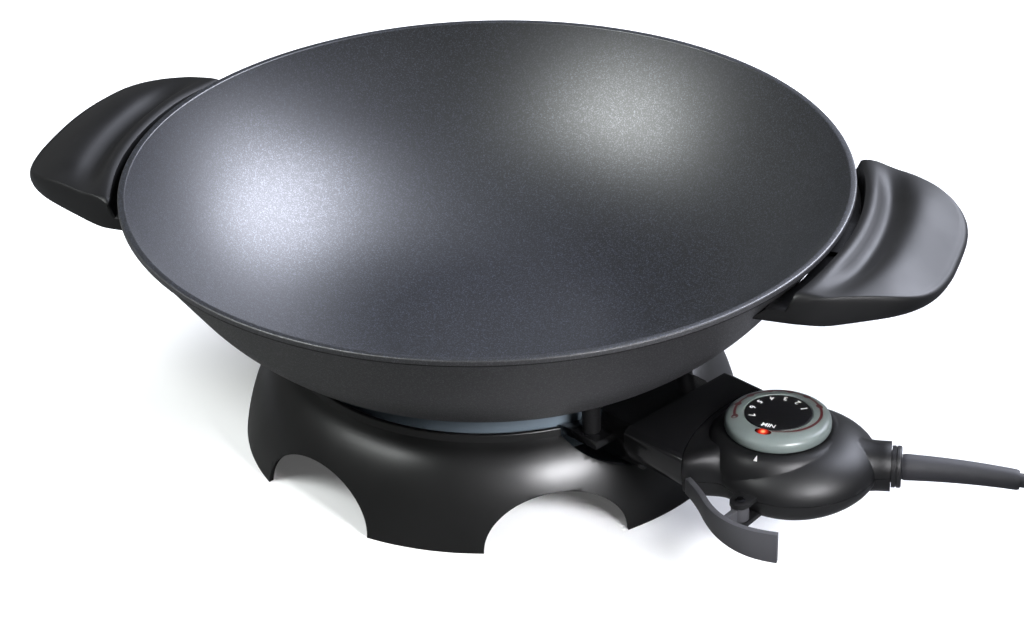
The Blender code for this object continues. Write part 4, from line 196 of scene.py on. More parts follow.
@dataclass(frozen=True)
class Moulding:
    """Injection-moulded plastic with a fine eroded grain, seen as a soft break in the gloss."""

    name: str
    colour: str
    worn_colour: str
    roughness: float
    grain: float
    depth: float
    gloss_spread: float = 0.05
    ior: float = 1.5
    cloud: float = 40.0 * MM

    def build(self) -> bpy.types.Material:
        """Build the material: grain in the bump, slow cloudiness in the gloss and colour.

        Returns:
            The material.
        """
        material, shader = new_material(self.name, self.colour, IOR=self.ior)
        place = add_node(material, "ShaderNodeTexCoord").outputs["Object"]
        grain = add_node(material, "ShaderNodeTexNoise", {"Scale": 1 / self.grain, "Detail": 2.0},
                         {"Vector": place})
        cloud = add_node(material, "ShaderNodeTexNoise", {"Scale": 1 / self.cloud, "Detail": 3.0},
                         {"Vector": place})
        gloss = add_node(material, "ShaderNodeMapRange", {
            "From Min": 0.3, "From Max": 0.7, "To Min": self.roughness - self.gloss_spread,
            "To Max": self.roughness + self.gloss_spread}, {"Value": cloud.outputs["Fac"]})
        bump = add_node(material, "ShaderNodeBump", {"Strength": 0.5, "Distance": self.depth},
                        {"Height": grain.outputs["Fac"]})
        colour = add_node(material, "ShaderNodeMix", {
            MIX_FIRST: linear(self.colour), MIX_SECOND: linear(self.worn_colour)},
            {"Factor": cloud.outputs["Fac"]}, data_type="RGBA")
        feed(material, shader, {
            "Base Color": colour.outputs[MIX_RESULT], "Roughness": gloss.outputs["Result"],
            "Normal": bump.outputs["Normal"]})
        return material


@dataclass(frozen=True)
class FlakedCoating:
    """Sprayed non-stick coating: a dark resin film that carries fine bright metal flakes."""

    name: str
    colour: str
    flake_colour: str
    flake: float
    share: float
    roughness: float
    specular: float
    metallic: float = 0.15
    peel: float = 1.6 * MM
    peel_depth: float = 0.05 * MM
    flake_depth: float = 0.06 * MM
    flake_gloss: float = 0.72

    def build(self) -> bpy.types.Material:
        """Build the material: flakes from the cells of a pattern, and a faint orange peel.

        Returns:
            The material.
        """
        material, shader = new_material(self.name, self.colour, IOR=1.6, Metallic=self.metallic,
                                        Specular_IOR_Level=self.specular)
        place = add_node(material, "ShaderNodeTexCoord").outputs["Object"]
        cells = add_node(material, "ShaderNodeTexVoronoi", {"Scale": 1 / self.flake}, {"Vector": place})
        pick = add_node(material, "ShaderNodeSeparateColor", links={"Color": cells.outputs["Color"]})
        flakes = add_node(material, "ShaderNodeMapRange", {
            "From Min": 1 - self.share, "From Max": 1.0, "To Min": 0.0, "To Max": 1.0},
            {"Value": pick.outputs["Red"]})
        peel = add_node(material, "ShaderNodeTexNoise", {"Scale": 1 / self.peel, "Detail": 3.0},
                        {"Vector": place})
        bump = add_node(material, "ShaderNodeBump", {"Strength": 0.35, "Distance": self.peel_depth},
                        {"Height": peel.outputs["Fac"]})
        tilt = add_node(material, "ShaderNodeBump", {"Strength": 0.25, "Distance": self.flake_depth},
                        {"Height": pick.outputs["Green"], "Normal": bump.outputs["Normal"]})
        gloss = add_node(material, "ShaderNodeMapRange", {
            "From Min": 0.0, "From Max": 1.0, "To Min": self.roughness,
            "To Max": self.roughness * self.flake_gloss},
            {"Value": flakes.outputs["Result"]})
        colour = add_node(material, "ShaderNodeMix", {
            MIX_FIRST: linear(self.colour), MIX_SECOND: linear(self.flake_colour)},
            {"Factor": flakes.outputs["Result"]}, data_type="RGBA")
        feed(material, shader, {
            "Base Color": colour.outputs[MIX_RESULT], "Roughness": gloss.outputs["Result"],
            "Normal": tilt.outputs["Normal"]})
        return material


@dataclass(frozen=True)
class WorkedMetal:
    """Drawn, spun or plated metal whose fine lines spread the highlight."""

    name: str
    colour: str
    tarnish_colour: str
    roughness: float
    line: float
    metallic: float = 1.0
    line_depth: float = 0.02 * MM
    line_stretch: float = 12.0
    tarnish: float = 25.0 * MM

    def build(self) -> bpy.types.Material:
        """Build the material: tool lines in the bump and a slow tarnish in the colour.

        Returns:
            The material.
        """
        material, shader = new_material(self.name, self.colour, Metallic=self.metallic)
        place = add_node(material, "ShaderNodeTexCoord").outputs["Object"]
        stretch = add_node(material, "ShaderNodeMapping", {"Scale": (1.0, 1.0, self.line_stretch)},
                           {"Vector": place})
        lines = add_node(material, "ShaderNodeTexNoise", {"Scale": 1 / self.line, "Detail": 2.0},
                         {"Vector": stretch.outputs["Vector"]})
        tarnish = add_node(material, "ShaderNodeTexNoise", {"Scale": 1 / self.tarnish, "Detail": 4.0},
                           {"Vector": place})
        gloss = add_node(material, "ShaderNodeMapRange", {
            "From Min": 0.3, "From Max": 0.7, "To Min": self.roughness * 0.8,
            "To Max": self.roughness * 1.3}, {"Value": lines.outputs["Fac"]})
        bump = add_node(material, "ShaderNodeBump", {"Strength": 0.2, "Distance": self.line_depth},
                        {"Height": lines.outputs["Fac"]})
        colour = add_node(material, "ShaderNodeMix", {
            MIX_FIRST: linear(self.colour), MIX_SECOND: linear(self.tarnish_colour)},
            {"Factor": tarnish.outputs["Fac"]}, data_type="RGBA")
        feed(material, shader, {
            "Base Color": colour.outputs[MIX_RESULT], "Roughness": gloss.outputs["Result"],
            "Normal": bump.outputs["Normal"]})
        return material


@dataclass(frozen=True)
class TintedResin:
    """Milky tinted resin of the dial's ring: glossy, and lit a little from within."""

    name: str
    colour: str
    deep_colour: str
    scatter: float = 1.2 * MM
    cloud: float = 9.0 * MM

    def build(self) -> bpy.types.Material:
        """Build the material: a soft scatter under a glossy skin.

        Returns:
            The material.
        """
        material, shader = new_material(
            self.name, self.colour, IOR=1.49, Roughness=0.34, Coat_Weight=0.2, Coat_Roughness=0.25,
            Subsurface_Weight=0.25, Subsurface_Radius=(1.0, 1.0, 1.0), Subsurface_Scale=self.scatter)
        place = add_node(material, "ShaderNodeTexCoord").outputs["Object"]
        cloud = add_node(material, "ShaderNodeTexNoise", {"Scale": 1 / self.cloud, "Detail": 2.0},
                         {"Vector": place})
        colour = add_node(material, "ShaderNodeMix", {
            MIX_FIRST: linear(self.colour), MIX_SECOND: linear(self.deep_colour)},
            {"Factor": cloud.outputs["Fac"]}, data_type="RGBA")
        feed(material, shader, {"Base Color": colour.outputs[MIX_RESULT]})
        return material


@dataclass(frozen=True)
class LampGlow:
    """The pilot lamp's light in the resin: yellow at the filament, red round it, then the resin itself."""

    name: str
    core_colour: str
    edge_colour: str
    fringe_colour: str
    resin_colour: str
    centre: Point
    radius: float
    fringe_at: float = 0.22
    edge_at: float = 0.58

    def build(self) -> bpy.types.Material:
        """Build the material: light that falls off from the lens's own centre.

        Returns:
            The material.
        """
        material, shader = new_material(self.name, self.resin_colour, IOR=1.49, Roughness=0.24,
                                        Emission_Strength=1.0)
        place = add_node(material, "ShaderNodeTexCoord").outputs["Object"]
        centred = add_node(material, "ShaderNodeMapping", {
            "Location": tuple(-value / self.radius for value in self.centre),
            "Scale": (1 / self.radius,) * 3}, {"Vector": place})
        fall = add_node(material, "ShaderNodeTexGradient", links={"Vector": centred.outputs["Vector"]},
                        gradient_type="SPHERICAL")
        ramp = add_node(material, "ShaderNodeValToRGB", links={"Fac": fall.outputs["Fac"]})
        stops = ramp.color_ramp.elements
        stops[0].color = linear("#000000")
        stops[1].color = linear(self.core_colour)
        stops.new(self.fringe_at).color = linear(self.fringe_colour)
        stops.new(self.edge_at).color = linear(self.edge_colour)
        feed(material, shader, {"Emission Color": ramp.outputs["Color"]})
        return material


# Sprayed non-stick coating on cast aluminium: dark and satin, with bright specks. The real flakes are too
# fine to show in the render, so they are drawn at 0.42 mm. Less of the coating reaches the outside. The
# posts, bosses and lugs under the bowl get a darker coat still, which is painted shade under the bowl.
FLAKE = 0.42 * MM
BOWL_INSIDE = FlakedCoating("nonstick_coating_inside", "#101216", "#4a4e5a", FLAKE, 0.33, 0.45, 1.0)
BOWL_OUTSIDE = FlakedCoating("nonstick_coating_outside", "#333335", "#4e4e52", FLAKE, 0.30, 0.52, 0.6)
BOWL_POSTS_PAINTED_SHADE = FlakedCoating("nonstick_posts_painted_shade", "#0b0b0c", "#141416", FLAKE, 0.20, 0.60, 0.2)
# Compression-moulded phenolic: a hard black with soft highlights, and sharp ones from a polished tool
STAND_PLASTIC = Moulding("phenolic_moulding_satin_black", "#0a0a0a", "#0e0e0e", 0.36, 0.45 * MM, 0.02 * MM)
SHROUD_PLASTIC = Moulding("phenolic_moulding_gloss_black", "#0b0b0c", "#101011", 0.20, 0.8 * MM, 0.008 * MM)
GRIP_PLASTIC = Moulding("phenolic_grip_satin_black", "#0c0c0d", "#121213", 0.50, 0.40 * MM, 0.012 * MM,
                        ior=1.46)
# Injection-moulded polyamide: an eroded grain that turns every highlight broad and dull
HOUSING_PLASTIC = Moulding("polyamide_housing_black", "#0a0a0b", "#0f0f10", 0.47, 0.5 * MM, 0.012 * MM,
                           ior=1.42)
LEVER_PLASTIC = Moulding("polyamide_lever_grey", "#323235", "#39393c", 0.50, 0.4 * MM, 0.03 * MM)
# Soft PVC: a dull black that hardly shines
GLAND_PLASTIC = Moulding("soft_pvc_gland", "#121214", "#18181a", 0.46, 0.4 * MM, 0.03 * MM)
# Moulded ABS: smooth, so that the printed figures stand out on it
DISC_PLASTIC = Moulding("abs_dial_disc", "#101011", "#151517", 0.34, 0.3 * MM, 0.01 * MM)
# Moulded and extruded rubber: dark grey and matt, with a faint bloom
PLUG_RUBBER = Moulding("moulded_rubber_plug", "#2a2a2d", "#323236", 0.55, 0.4 * MM, 0.04 * MM)
CORD_RUBBER = Moulding("rubber_cord_sheath", "#26262a", "#2e2e32", 0.60, 0.5 * MM, 0.05 * MM)
# Filled phenolic: brown-black and dull, as inside parts are
BLOCK_PLASTIC = Moulding("phenolic_block", "#2e2a28", "#37322f", 0.55, 0.5 * MM, 0.04 * MM)
# Fired steatite: off-white and slightly rough
CERAMIC = Moulding("steatite_ceramic", "#dedcd4", "#cfccc2", 0.50, 0.3 * MM, 0.02 * MM)
# Pad-printed ink: a thin even film, white on the disc and dark red on the ring
SCALE_INK = Moulding("pad_printed_white_ink", "#f2f2f0", "#e6e6e4", 0.45, 0.3 * MM, 0.01 * MM)
RING_INK = Moulding("pad_printed_red_ink", "#4a1013", "#3a0c0f", 0.40, 0.3 * MM, 0.01 * MM)
# Tinted clear plastic over the pilot lamp: deep red with a sharp highlight
LAMP_LENS = Moulding("red_lamp_lens", "#8e2a1e", "#7a2018", 0.2, 0.4 * MM, 0.01 * MM)
# Drawn, blackened and plated metal: highlights that smear along the tool lines
STEEL = WorkedMetal("stainless_steel_drawn", "#b4b3b0", "#97958f", 0.34, 0.4 * MM)
BLACK_STEEL = WorkedMetal("blackened_steel_pin", "#1a1a1c", "#101012", 0.42, 0.4 * MM)
NICKEL = WorkedMetal("nickel_plated_brass", "#cbc6bb", "#aca697", 0.26, 0.5 * MM)
BRASS = WorkedMetal("spring_brass", "#c9a35a", "#9b7a3c", 0.30, 0.4 * MM)
# Spun aluminised steel: a bluish grey with rings of soft light
REFLECTOR_METAL = WorkedMetal("aluminised_steel_spun", "#8d9ba6", "#7b8994", 0.5, 0.6 * MM, 0.5)
# Milky acrylic: a grey-green that glows a little where light enters
RING_RESIN = TintedResin("tinted_resin_ring", "#6c7572", "#606866")


def insulation(colour: str, code: str) -> Moulding:
    """Name the PVC insulation of a lead, smooth and evenly coloured."""
    return Moulding(f"pvc_insulation_{colour}", code, code, 0.45, 0.4 * MM, 0.02 * MM)


LEADS = {"live_lead": ("brown", "#6b4326"), "neutral_lead": ("blue", "#3e66ab"),
         "earth_lead": ("green", "#5a9e51"), "link_lead": ("white", "#dad9d6")}


def focus(thing: Thing) -> Thing:
    """Select one object alone and make it the active one.

    Args:
        thing: The object.

    Returns:
        The same object.
    """
    bpy.ops.object.select_all(action="DESELECT")
    thing.select_set(True)
    bpy.context.view_layer.objects.active = thing
    return thing


def take(name: str) -> Thing:
    """Name the object that was just added.

    Args:
        name: The name for the object and its data.

    Returns:
        The object.
    """
    thing = bpy.context.view_layer.objects.active
    thing.name = name
    thing.data.name = name
    return thing


def add(name: str, operator: Callable[..., Any], spots: Sequence[Sequence[float]] = (),
        **settings: Any) -> Thing:
    """Add a primitive and put a mesh's points in place.

    Args:
        name: The object's name.
        operator: The operator that adds the primitive.
        spots: Places for its points, in their order.
        settings: The operator's settings.

    Returns:
        The new object.
    """
    bpy.ops.object.select_all(action="DESELECT")
    operator(**settings)
    thing = take(name)
    if spots:
        for vertex, spot in zip(thing.data.vertices, spots):
            vertex.co = spot
    return thing


def join(name: str, things: Sequence[Thing]) -> Thing:
    """Join objects into the first of them.

    Args:
        name: The name for the joined object.
        things: The objects, which are used up.

    Returns:
        The joined object.
    """
    focus(things[0])
    for thing in things:
        thing.select_set(True)
    bpy.ops.object.join()
    return take(name)


def in_edit_mode(thing: Thing, work: Callable[[], None]) -> Thing:
    """Run operators on an object's whole mesh in edit mode.

    Args:
        thing: The object to shape.
        work: The operators to run with everything selected.

    Returns:
        The same object.
    """
    focus(thing)
    bpy.ops.object.mode_set(mode="EDIT")
    bpy.ops.mesh.select_all(action="SELECT")
    work()
    bpy.ops.object.mode_set(mode="OBJECT")
    return thing


def tidy_mesh() -> None:
    """Merge doubles and turn every face outwards, in edit mode."""
    bpy.ops.mesh.select_all(action="SELECT")
    bpy.ops.mesh.remove_doubles(threshold=MERGE)
    bpy.ops.mesh.select_all(action="SELECT")
    bpy.ops.mesh.normals_make_consistent(inside=False)


def spin_outline(name: str, outline: Outline, steps: int) -> Thing:
    """Spin a closed outline of radius and height about Z.

    Args:
        name: The object's name.
        outline: Radius and height of each corner, all round the section.
        steps: Facets of a full turn.

    Returns:
        A closed body.
    """
    spots = [(radius, 0.0, height) for radius, height in outline]
    thing = add(name, bpy.ops.mesh.primitive_circle_add, spots, vertices=len(outline), fill_type="NOTHING")

    def work() -> None:
        """Spin the outline and close its seam and poles."""
        bpy.ops.mesh.spin(steps=steps, angle=2 * math.pi, center=(0, 0, 0), axis=(0, 0, 1))
        tidy_mesh()

    return in_edit_mode(thing, work)


def extrude_outline(name: str, outline: Outline, low: float, high: float) -> Thing:
    """Extrude a flat outline along Z between two heights.

    Args:
        name: The object's name.
        outline: Corners in X and Y.
        low: Height of the lower face.
        high: Height of the upper face.

    Returns:
        A closed body.
    """
    spots = [(x, y, low) for x, y in outline]
    thing = add(name, bpy.ops.mesh.primitive_circle_add, spots, vertices=len(outline), fill_type="NGON")

    def work() -> None:
        """Raise the outline to a body."""
        bpy.ops.mesh.extrude_region_move(TRANSFORM_OT_translate={"value": (0, 0, high - low)})
        bpy.ops.mesh.select_all(action="SELECT")
        bpy.ops.mesh.normals_make_consistent(inside=False)

    return in_edit_mode(thing, work)


def skin_rings(name: str, rings: Sequence[Sequence[Point]], caps: bool = True) -> Thing:
    """Lay a grid over a row of closed rings and close its ends.

    Args:
        name: The object's name.
        rings: Alike rings of points, each with its first point repeated last.
        caps: Whether both ends are closed.

    Returns:
        A body with square facets.
    """
    thing = add(name, bpy.ops.mesh.primitive_grid_add, [spot for ring in rings for spot in ring],
                x_subdivisions=len(rings[0]) - 1, y_subdivisions=len(rings) - 1)

    def work() -> None:
        """Close the seam and the ends."""
        bpy.ops.mesh.remove_doubles(threshold=MERGE)
        if caps:
            bpy.ops.mesh.fill_holes(sides=0)
        tidy_mesh()

    return in_edit_mode(thing, work)


def add_rod(name: str, radius: float, low: float, high: float,
            centre: Spot = (0.0, 0.0), sides: int = 48) -> Thing:
    """Add an upright cylinder at its size and place.

    Args:
        name: The object's name.
        radius: Its radius.
        low: Height of its lower end.
        high: Height of its upper end.
        centre: Where its axis stands.
        sides: Facets all round.

    Returns:
        A closed body.
    """
    rod = add(name, bpy.ops.mesh.primitive_cylinder_add, vertices=sides, radius=radius, depth=high - low,
              location=(*centre, (low + high) / 2))
    return settle(rod, Matrix.Identity(4))


def add_block(name: str, low: Point, high: Point) -> Thing:
    """Add a box between two opposite corners.

    Args:
        name: The object's name.
        low: One corner.
        high: The corner across from it.

    Returns:
        A closed body.
    """
    block = add(name, bpy.ops.mesh.primitive_cube_add, size=1.0)
    spans = [sorted(span) for span in zip(low, high)]
    for vertex in block.data.vertices:
        vertex.co = [span[1] if side > 0 else span[0] for span, side in zip(spans, vertex.co)]
    return block


def settle(thing: Thing, matrix: Matrix) -> Thing:
    """Move an object's place into its mesh, and move the mesh by a matrix.

    Args:
        thing: The object.
        matrix: Where its mesh goes.

    Returns:
        The same object, at the origin.
    """
    bpy.context.view_layer.update()
    thing.data.transform(matrix @ thing.matrix_world)
    thing.matrix_world = Matrix.Identity(4)
    return thing


def apply_modifier(thing: Thing, kind: str, **settings: Any) -> Thing:
    """Add a modifier with its settings and apply it.

    Args:
        thing: The object to shape.
        kind: The modifier's type.
        settings: Attributes of the modifier.

    Returns:
        The same object.
    """
    modifier = thing.modifiers.new(kind.lower(), kind)
    for name, value in settings.items():
        setattr(modifier, name, value)
    focus(thing)
    bpy.ops.object.modifier_apply(modifier=modifier.name)
    return thing


def combine(target: Thing, others: Iterable[Thing], operation: Cut) -> Thing:
    """Shape one body by others.

    Args:
        target: The body that is shaped.
        others: The bodies that shape it, which are used up.
        operation: How they shape it.

    Returns:
        The shaped body.
    """
    for other in others:
        apply_modifier(target, "BOOLEAN", object=other, operation=operation.value, solver="EXACT")
        bpy.data.objects.remove(other, do_unlink=True)
    return target


def round_edges(thing: Thing, width: float, segments: int, angle: float) -> Thing:
    """Round an object's sharp edges.

    Args:
        thing: The object to shape.
        width: Width of the rounding.
        segments: Facets across it.
        angle: The angle in degrees past which an edge is rounded.

    Returns:
        The same object.
    """
    return apply_modifier(thing, "BEVEL", width=width, segments=segments, limit_method="ANGLE",
                          angle_limit=math.radians(angle), use_clamp_overlap=True)


def smooth(thing: Thing, angle: float) -> Thing:
    """Shade an object smooth.

    Args:
        thing: The object.
        angle: The angle in degrees past which an edge stays sharp.

    Returns:
        The same object.
    """
    focus(thing)
    bpy.ops.object.shade_smooth_by_angle(angle=math.radians(angle))
    return thing


def around(centre: Spot, radius: float, bearing: float) -> Spot:
    """Find the place at a bearing in degrees on a circle."""
    turn = math.radians(bearing)
    return centre[0] + radius * math.cos(turn), centre[1] + radius * math.sin(turn)


def arc(centre: Spot, radius: float, start: float, end: float, steps: int) -> list[Spot]:
    """Draw points on an arc.

    Args:
        centre: The arc's centre.
        radius: Its radius.
        start: Its first angle in degrees.
        end: Its last angle in degrees.
        steps: How many steps lie between them.

    Returns:
        The points, with both ends.
    """
    return [around(centre, radius, start + (end - start) * step / steps) for step in range(steps + 1)]


def mix(first: float, second: float, share: float) -> float:
    """Blend two values."""
    return first + (second - first) * share


def shares(steps: int) -> list[float]:
    """Split the way from zero to one into even steps, with both ends."""
    return [step / steps for step in range(steps + 1)]


def turned(bearing: float) -> Matrix:
    """Turn about Z by a bearing in degrees."""
    return Matrix.Rotation(math.radians(bearing), 4, "Z")


def ease(value: float) -> float:
    """Ease from zero to one, and stay there on either side."""
    share = min(1.0, max(0.0, value))
    return share * share * (3 - 2 * share)


def read_curve(table: Outline, place: float) -> float:
    """Read a smooth curve through a table of pairs.

    Args:
        table: Rising places with their values.
        place: Where to read.

    Returns:
        The value there, from a cubic between the neighbours.
    """
    if place <= table[0][0]:
        return table[0][1]
    for index in range(len(table) - 1):
        (x0, y0), (x1, y1) = table[index], table[index + 1]
        if place <= x1:
            before = table[max(0, index - 1)]
            after = table[min(len(table) - 1, index + 2)]
            slope0 = (y1 - before[1]) / (x1 - before[0])
            slope1 = (after[1] - y0) / (after[0] - x0)
            t = (place - x0) / (x1 - x0)
            run = x1 - x0
            return ((2 * t ** 3 - 3 * t ** 2 + 1) * y0 + (t ** 3 - 2 * t ** 2 + t) * run * slope0
                    + (3 * t ** 2 - 2 * t ** 3) * y1 + (t ** 3 - t ** 2) * run * slope1)
    return table[-1][1]


# Nodes that a dressed piece stands for already, which the inner parts leave alone
REPLACED: set[str] = set()


def dress(thing: Thing, body: Body, finish: bpy.types.Material,
          nodes: Sequence[str] = ()) -> Thing:
    """Give a piece its finish, its body and the nodes that it stands for.

    Args:
        thing: The piece.
        body: The body that it rides on.
        finish: Its material.
        nodes: CAD nodes that it replaces.

    Returns:
        The piece.
    """
    if not thing.data.materials:
        thing.data.materials.append(finish)
    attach(thing, body.value)
    if nodes:
        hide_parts(*nodes)
        REPLACED.update(nodes)
    LOG.info("%s rides on %s", thing.name, body.value)
    return thing


def drop_onto(thing: Thing, ground: Thing, lift: float) -> Thing:
    """Lower every point of a flat piece onto the body under it.

    Args:
        thing: The flat piece.
        ground: The body that carries it.
        lift: How far the piece stands above it.

    Returns:
        The piece.
    """
    bpy.context.view_layer.update()
    for vertex in thing.data.vertices:
        start = Vector((vertex.co.x, vertex.co.y, DROP_HEIGHT))
        found, spot, _, _ = ground.ray_cast(start, Vector((0, 0, -1)))
        if found:
            vertex.co.z = spot.z + lift
    return thing


@dataclass
class Bowl:
    """The cast bowl with its rolled lip, element rib, posts, bosses and lugs for the grips."""

    arm: Matrix
    rim_radius: float = RIM_RADIUS
    rim_height: float = 143.5 * MM
    rim_width: float = 3.8 * MM
    lip_height: float = 3.4 * MM
    lip_step: float = 2.4 * MM
    lip_round: float = 0.9 * MM
    wall: float = 3.2 * MM
    floor: float = 4.0 * MM
    bottom: float = 51.3 * MM
    flat: float = 52.0 * MM
    round: float = 134.0 * MM
    slope: float = 54.0
    element: float = 72.0 * MM
    element_height: float = 47.6 * MM
    groove: float = 4.3 * MM
    rib: float = 7.0 * MM
    post_radius: float = 5.0 * MM
    post_foot: float = 32.9 * MM
    post_circle: float = 85.0 * MM
    probe_boss: tuple[Point, Point] = ((85.5 * MM, -7.5 * MM, 41.4 * MM), (96.5 * MM, 7.5 * MM, 63.6 * MM))
    cold_ends: tuple[Point, Point] = ((68 * MM, -28 * MM, 41.3 * MM), (81 * MM, 28 * MM, 51.9 * MM))
    facets: int = 192

    def underside(self, radius: float) -> float:
        """Find the height of the outer face.

        Args:
            radius: Distance from the axis.

        Returns:
            The height there: a flat, a round and a cone in turn.
        """
        turn = math.radians(self.slope)
        cone = self.flat + self.round * math.sin(turn)
        if radius <= self.flat:
            return self.bottom
        if radius >= cone:
            return self.bottom + self.round * (1 - math.cos(turn)) + (radius - cone) * math.tan(turn)
        return self.bottom + self.round - math.sqrt(self.round ** 2 - (radius - self.flat) ** 2)

    def outline(self) -> list[Spot]:
        """Draw the section: under the floor, over the rib, up the wall, round the lip and back.

        Returns:
            Radius and height of each corner.
        """
        centre = self.bottom + self.round
        inner, outer = self.element - self.rib, self.element + self.rib
        section = [(0.0, self.bottom), (self.flat, self.bottom)]
        section += [(inner, self.underside(inner)), (inner, self.element_height)]
        section += arc((self.element, self.element_height), self.groove, 180, 0, 12)
        section += [(outer, self.element_height), (outer, self.underside(outer))]
        start = math.degrees(math.asin((outer - self.flat) / self.round))
        section += arc((self.flat, centre), self.round, start - 90, self.slope - 90, 24)[1:]
        lip_low = self.rim_height - self.lip_height
        foot = self.rim_radius - self.lip_step
        section += [(foot, self.underside(foot)), (self.rim_radius - self.lip_round * 0.4, lip_low)]
        outer_edge = self.rim_radius - self.lip_round
        inner_edge = self.rim_radius - self.rim_width + self.lip_round
        crown = self.rim_height - self.lip_round
        section += arc((outer_edge, lip_low + self.lip_round), self.lip_round, -20, 0, 2)
        section += arc((outer_edge, crown), self.lip_round, 0, 90, 5)
        section += arc((inner_edge, crown), self.lip_round, 90, 180, 5)
        return section + self.inside()[::-1]

    def inside(self, past: float = 0.0) -> list[Spot]:
        """Draw the section of the inner face, or of one past it in the wall.

        Args:
            past: How far into the wall the face lies.

        Returns:
            Radius and height of each corner, from the axis up the round.
        """
        depth, lift = self.round - self.wall + past, self.floor - self.wall
        centre = self.bottom + self.round
        section = [(0.0, self.bottom + self.floor - past)]
        for share in shares(30):
            turn = math.radians(self.slope * share)
            section.append((self.flat + depth * math.sin(turn),
                            centre - depth * math.cos(turn) + lift * (1 - share)))
        return section

    def mounts(self) -> list[Thing]:
        """Build the posts and bosses under the bowl, and the lugs that carry the grips.

        Returns:
            The closed bodies, each in its place.
        """
        post_top = self.underside(self.post_circle + self.post_radius)
        pieces = [add_rod("post", self.post_radius, self.post_foot, post_top,
                          around((0.0, 0.0), self.post_circle, bearing))
                  for bearing in (60.0, 180.0, 300.0)]
        pieces += [add_rod("ear_boss", 4.6 * MM, 50.8 * MM, 66.5 * MM, (104.5 * MM, side * 33.5 * MM))
                   for side in (-1, 1)]
        pieces.append(add_block("probe_boss", *self.probe_boss))
        for piece in pieces:
            settle(piece, self.arm)
        pieces += [add_block("lug", (side * 170 * MM, -16 * MM, 128.0 * MM),
                             (side * 210 * MM, 16 * MM, 133.6 * MM)) for side in (-1, 1)]
        return pieces

    def build(self) -> None:
        """Build the bowl and dress its inside and outside."""
        bowl = spin_outline("wok_bowl", self.outline(), self.facets)
        # The mounts end inside the wall, so they leave no mark on the bowl's inner face
        top_radius, top = self.rim_radius - self.rim_width / 2, self.rim_height + OVERRUN
        cavity = spin_outline("cavity", [*self.inside(self.wall / 2), (top_radius, self.rim_height),
                                         (top_radius, top), (0.0, top)], self.facets)
        lugs = self.mounts()
        for piece in lugs:
            copy = cavity.copy()
            copy.data = cavity.data.copy()
            bpy.context.scene.collection.objects.link(copy)
            combine(piece, [copy], Cut.TAKE)
        bpy.data.objects.remove(cavity, do_unlink=True)
        combine(bowl, lugs, Cut.ADD)
        combine(bowl, [settle(add_block("cold_ends", *self.cold_ends), self.arm)], Cut.TAKE)
        smooth(bowl, 30)
        for finish in (BOWL_INSIDE, BOWL_OUTSIDE, BOWL_POSTS_PAINTED_SHADE):
            bowl.data.materials.append(finish.build())
        for face in bowl.data.polygons:
            radius = math.hypot(face.center.x, face.center.y)
            above = face.center.z - self.underside(radius)
            within = above > self.wall / 2 and radius < self.rim_radius - self.rim_width + self.lip_round
            if within or face.center.z > self.rim_height - self.lip_round * 0.3:
                face.material_index = 0
            else:
                # Faces under the outer face, on the posts, bosses and lugs, take the third finish: a darker
                # coat that is painted shade
                face.material_index = 2 if above < -self.wall / 4 else 1
        dress(bowl, Body.WOK, bowl.data.materials[0], ["bowl"])


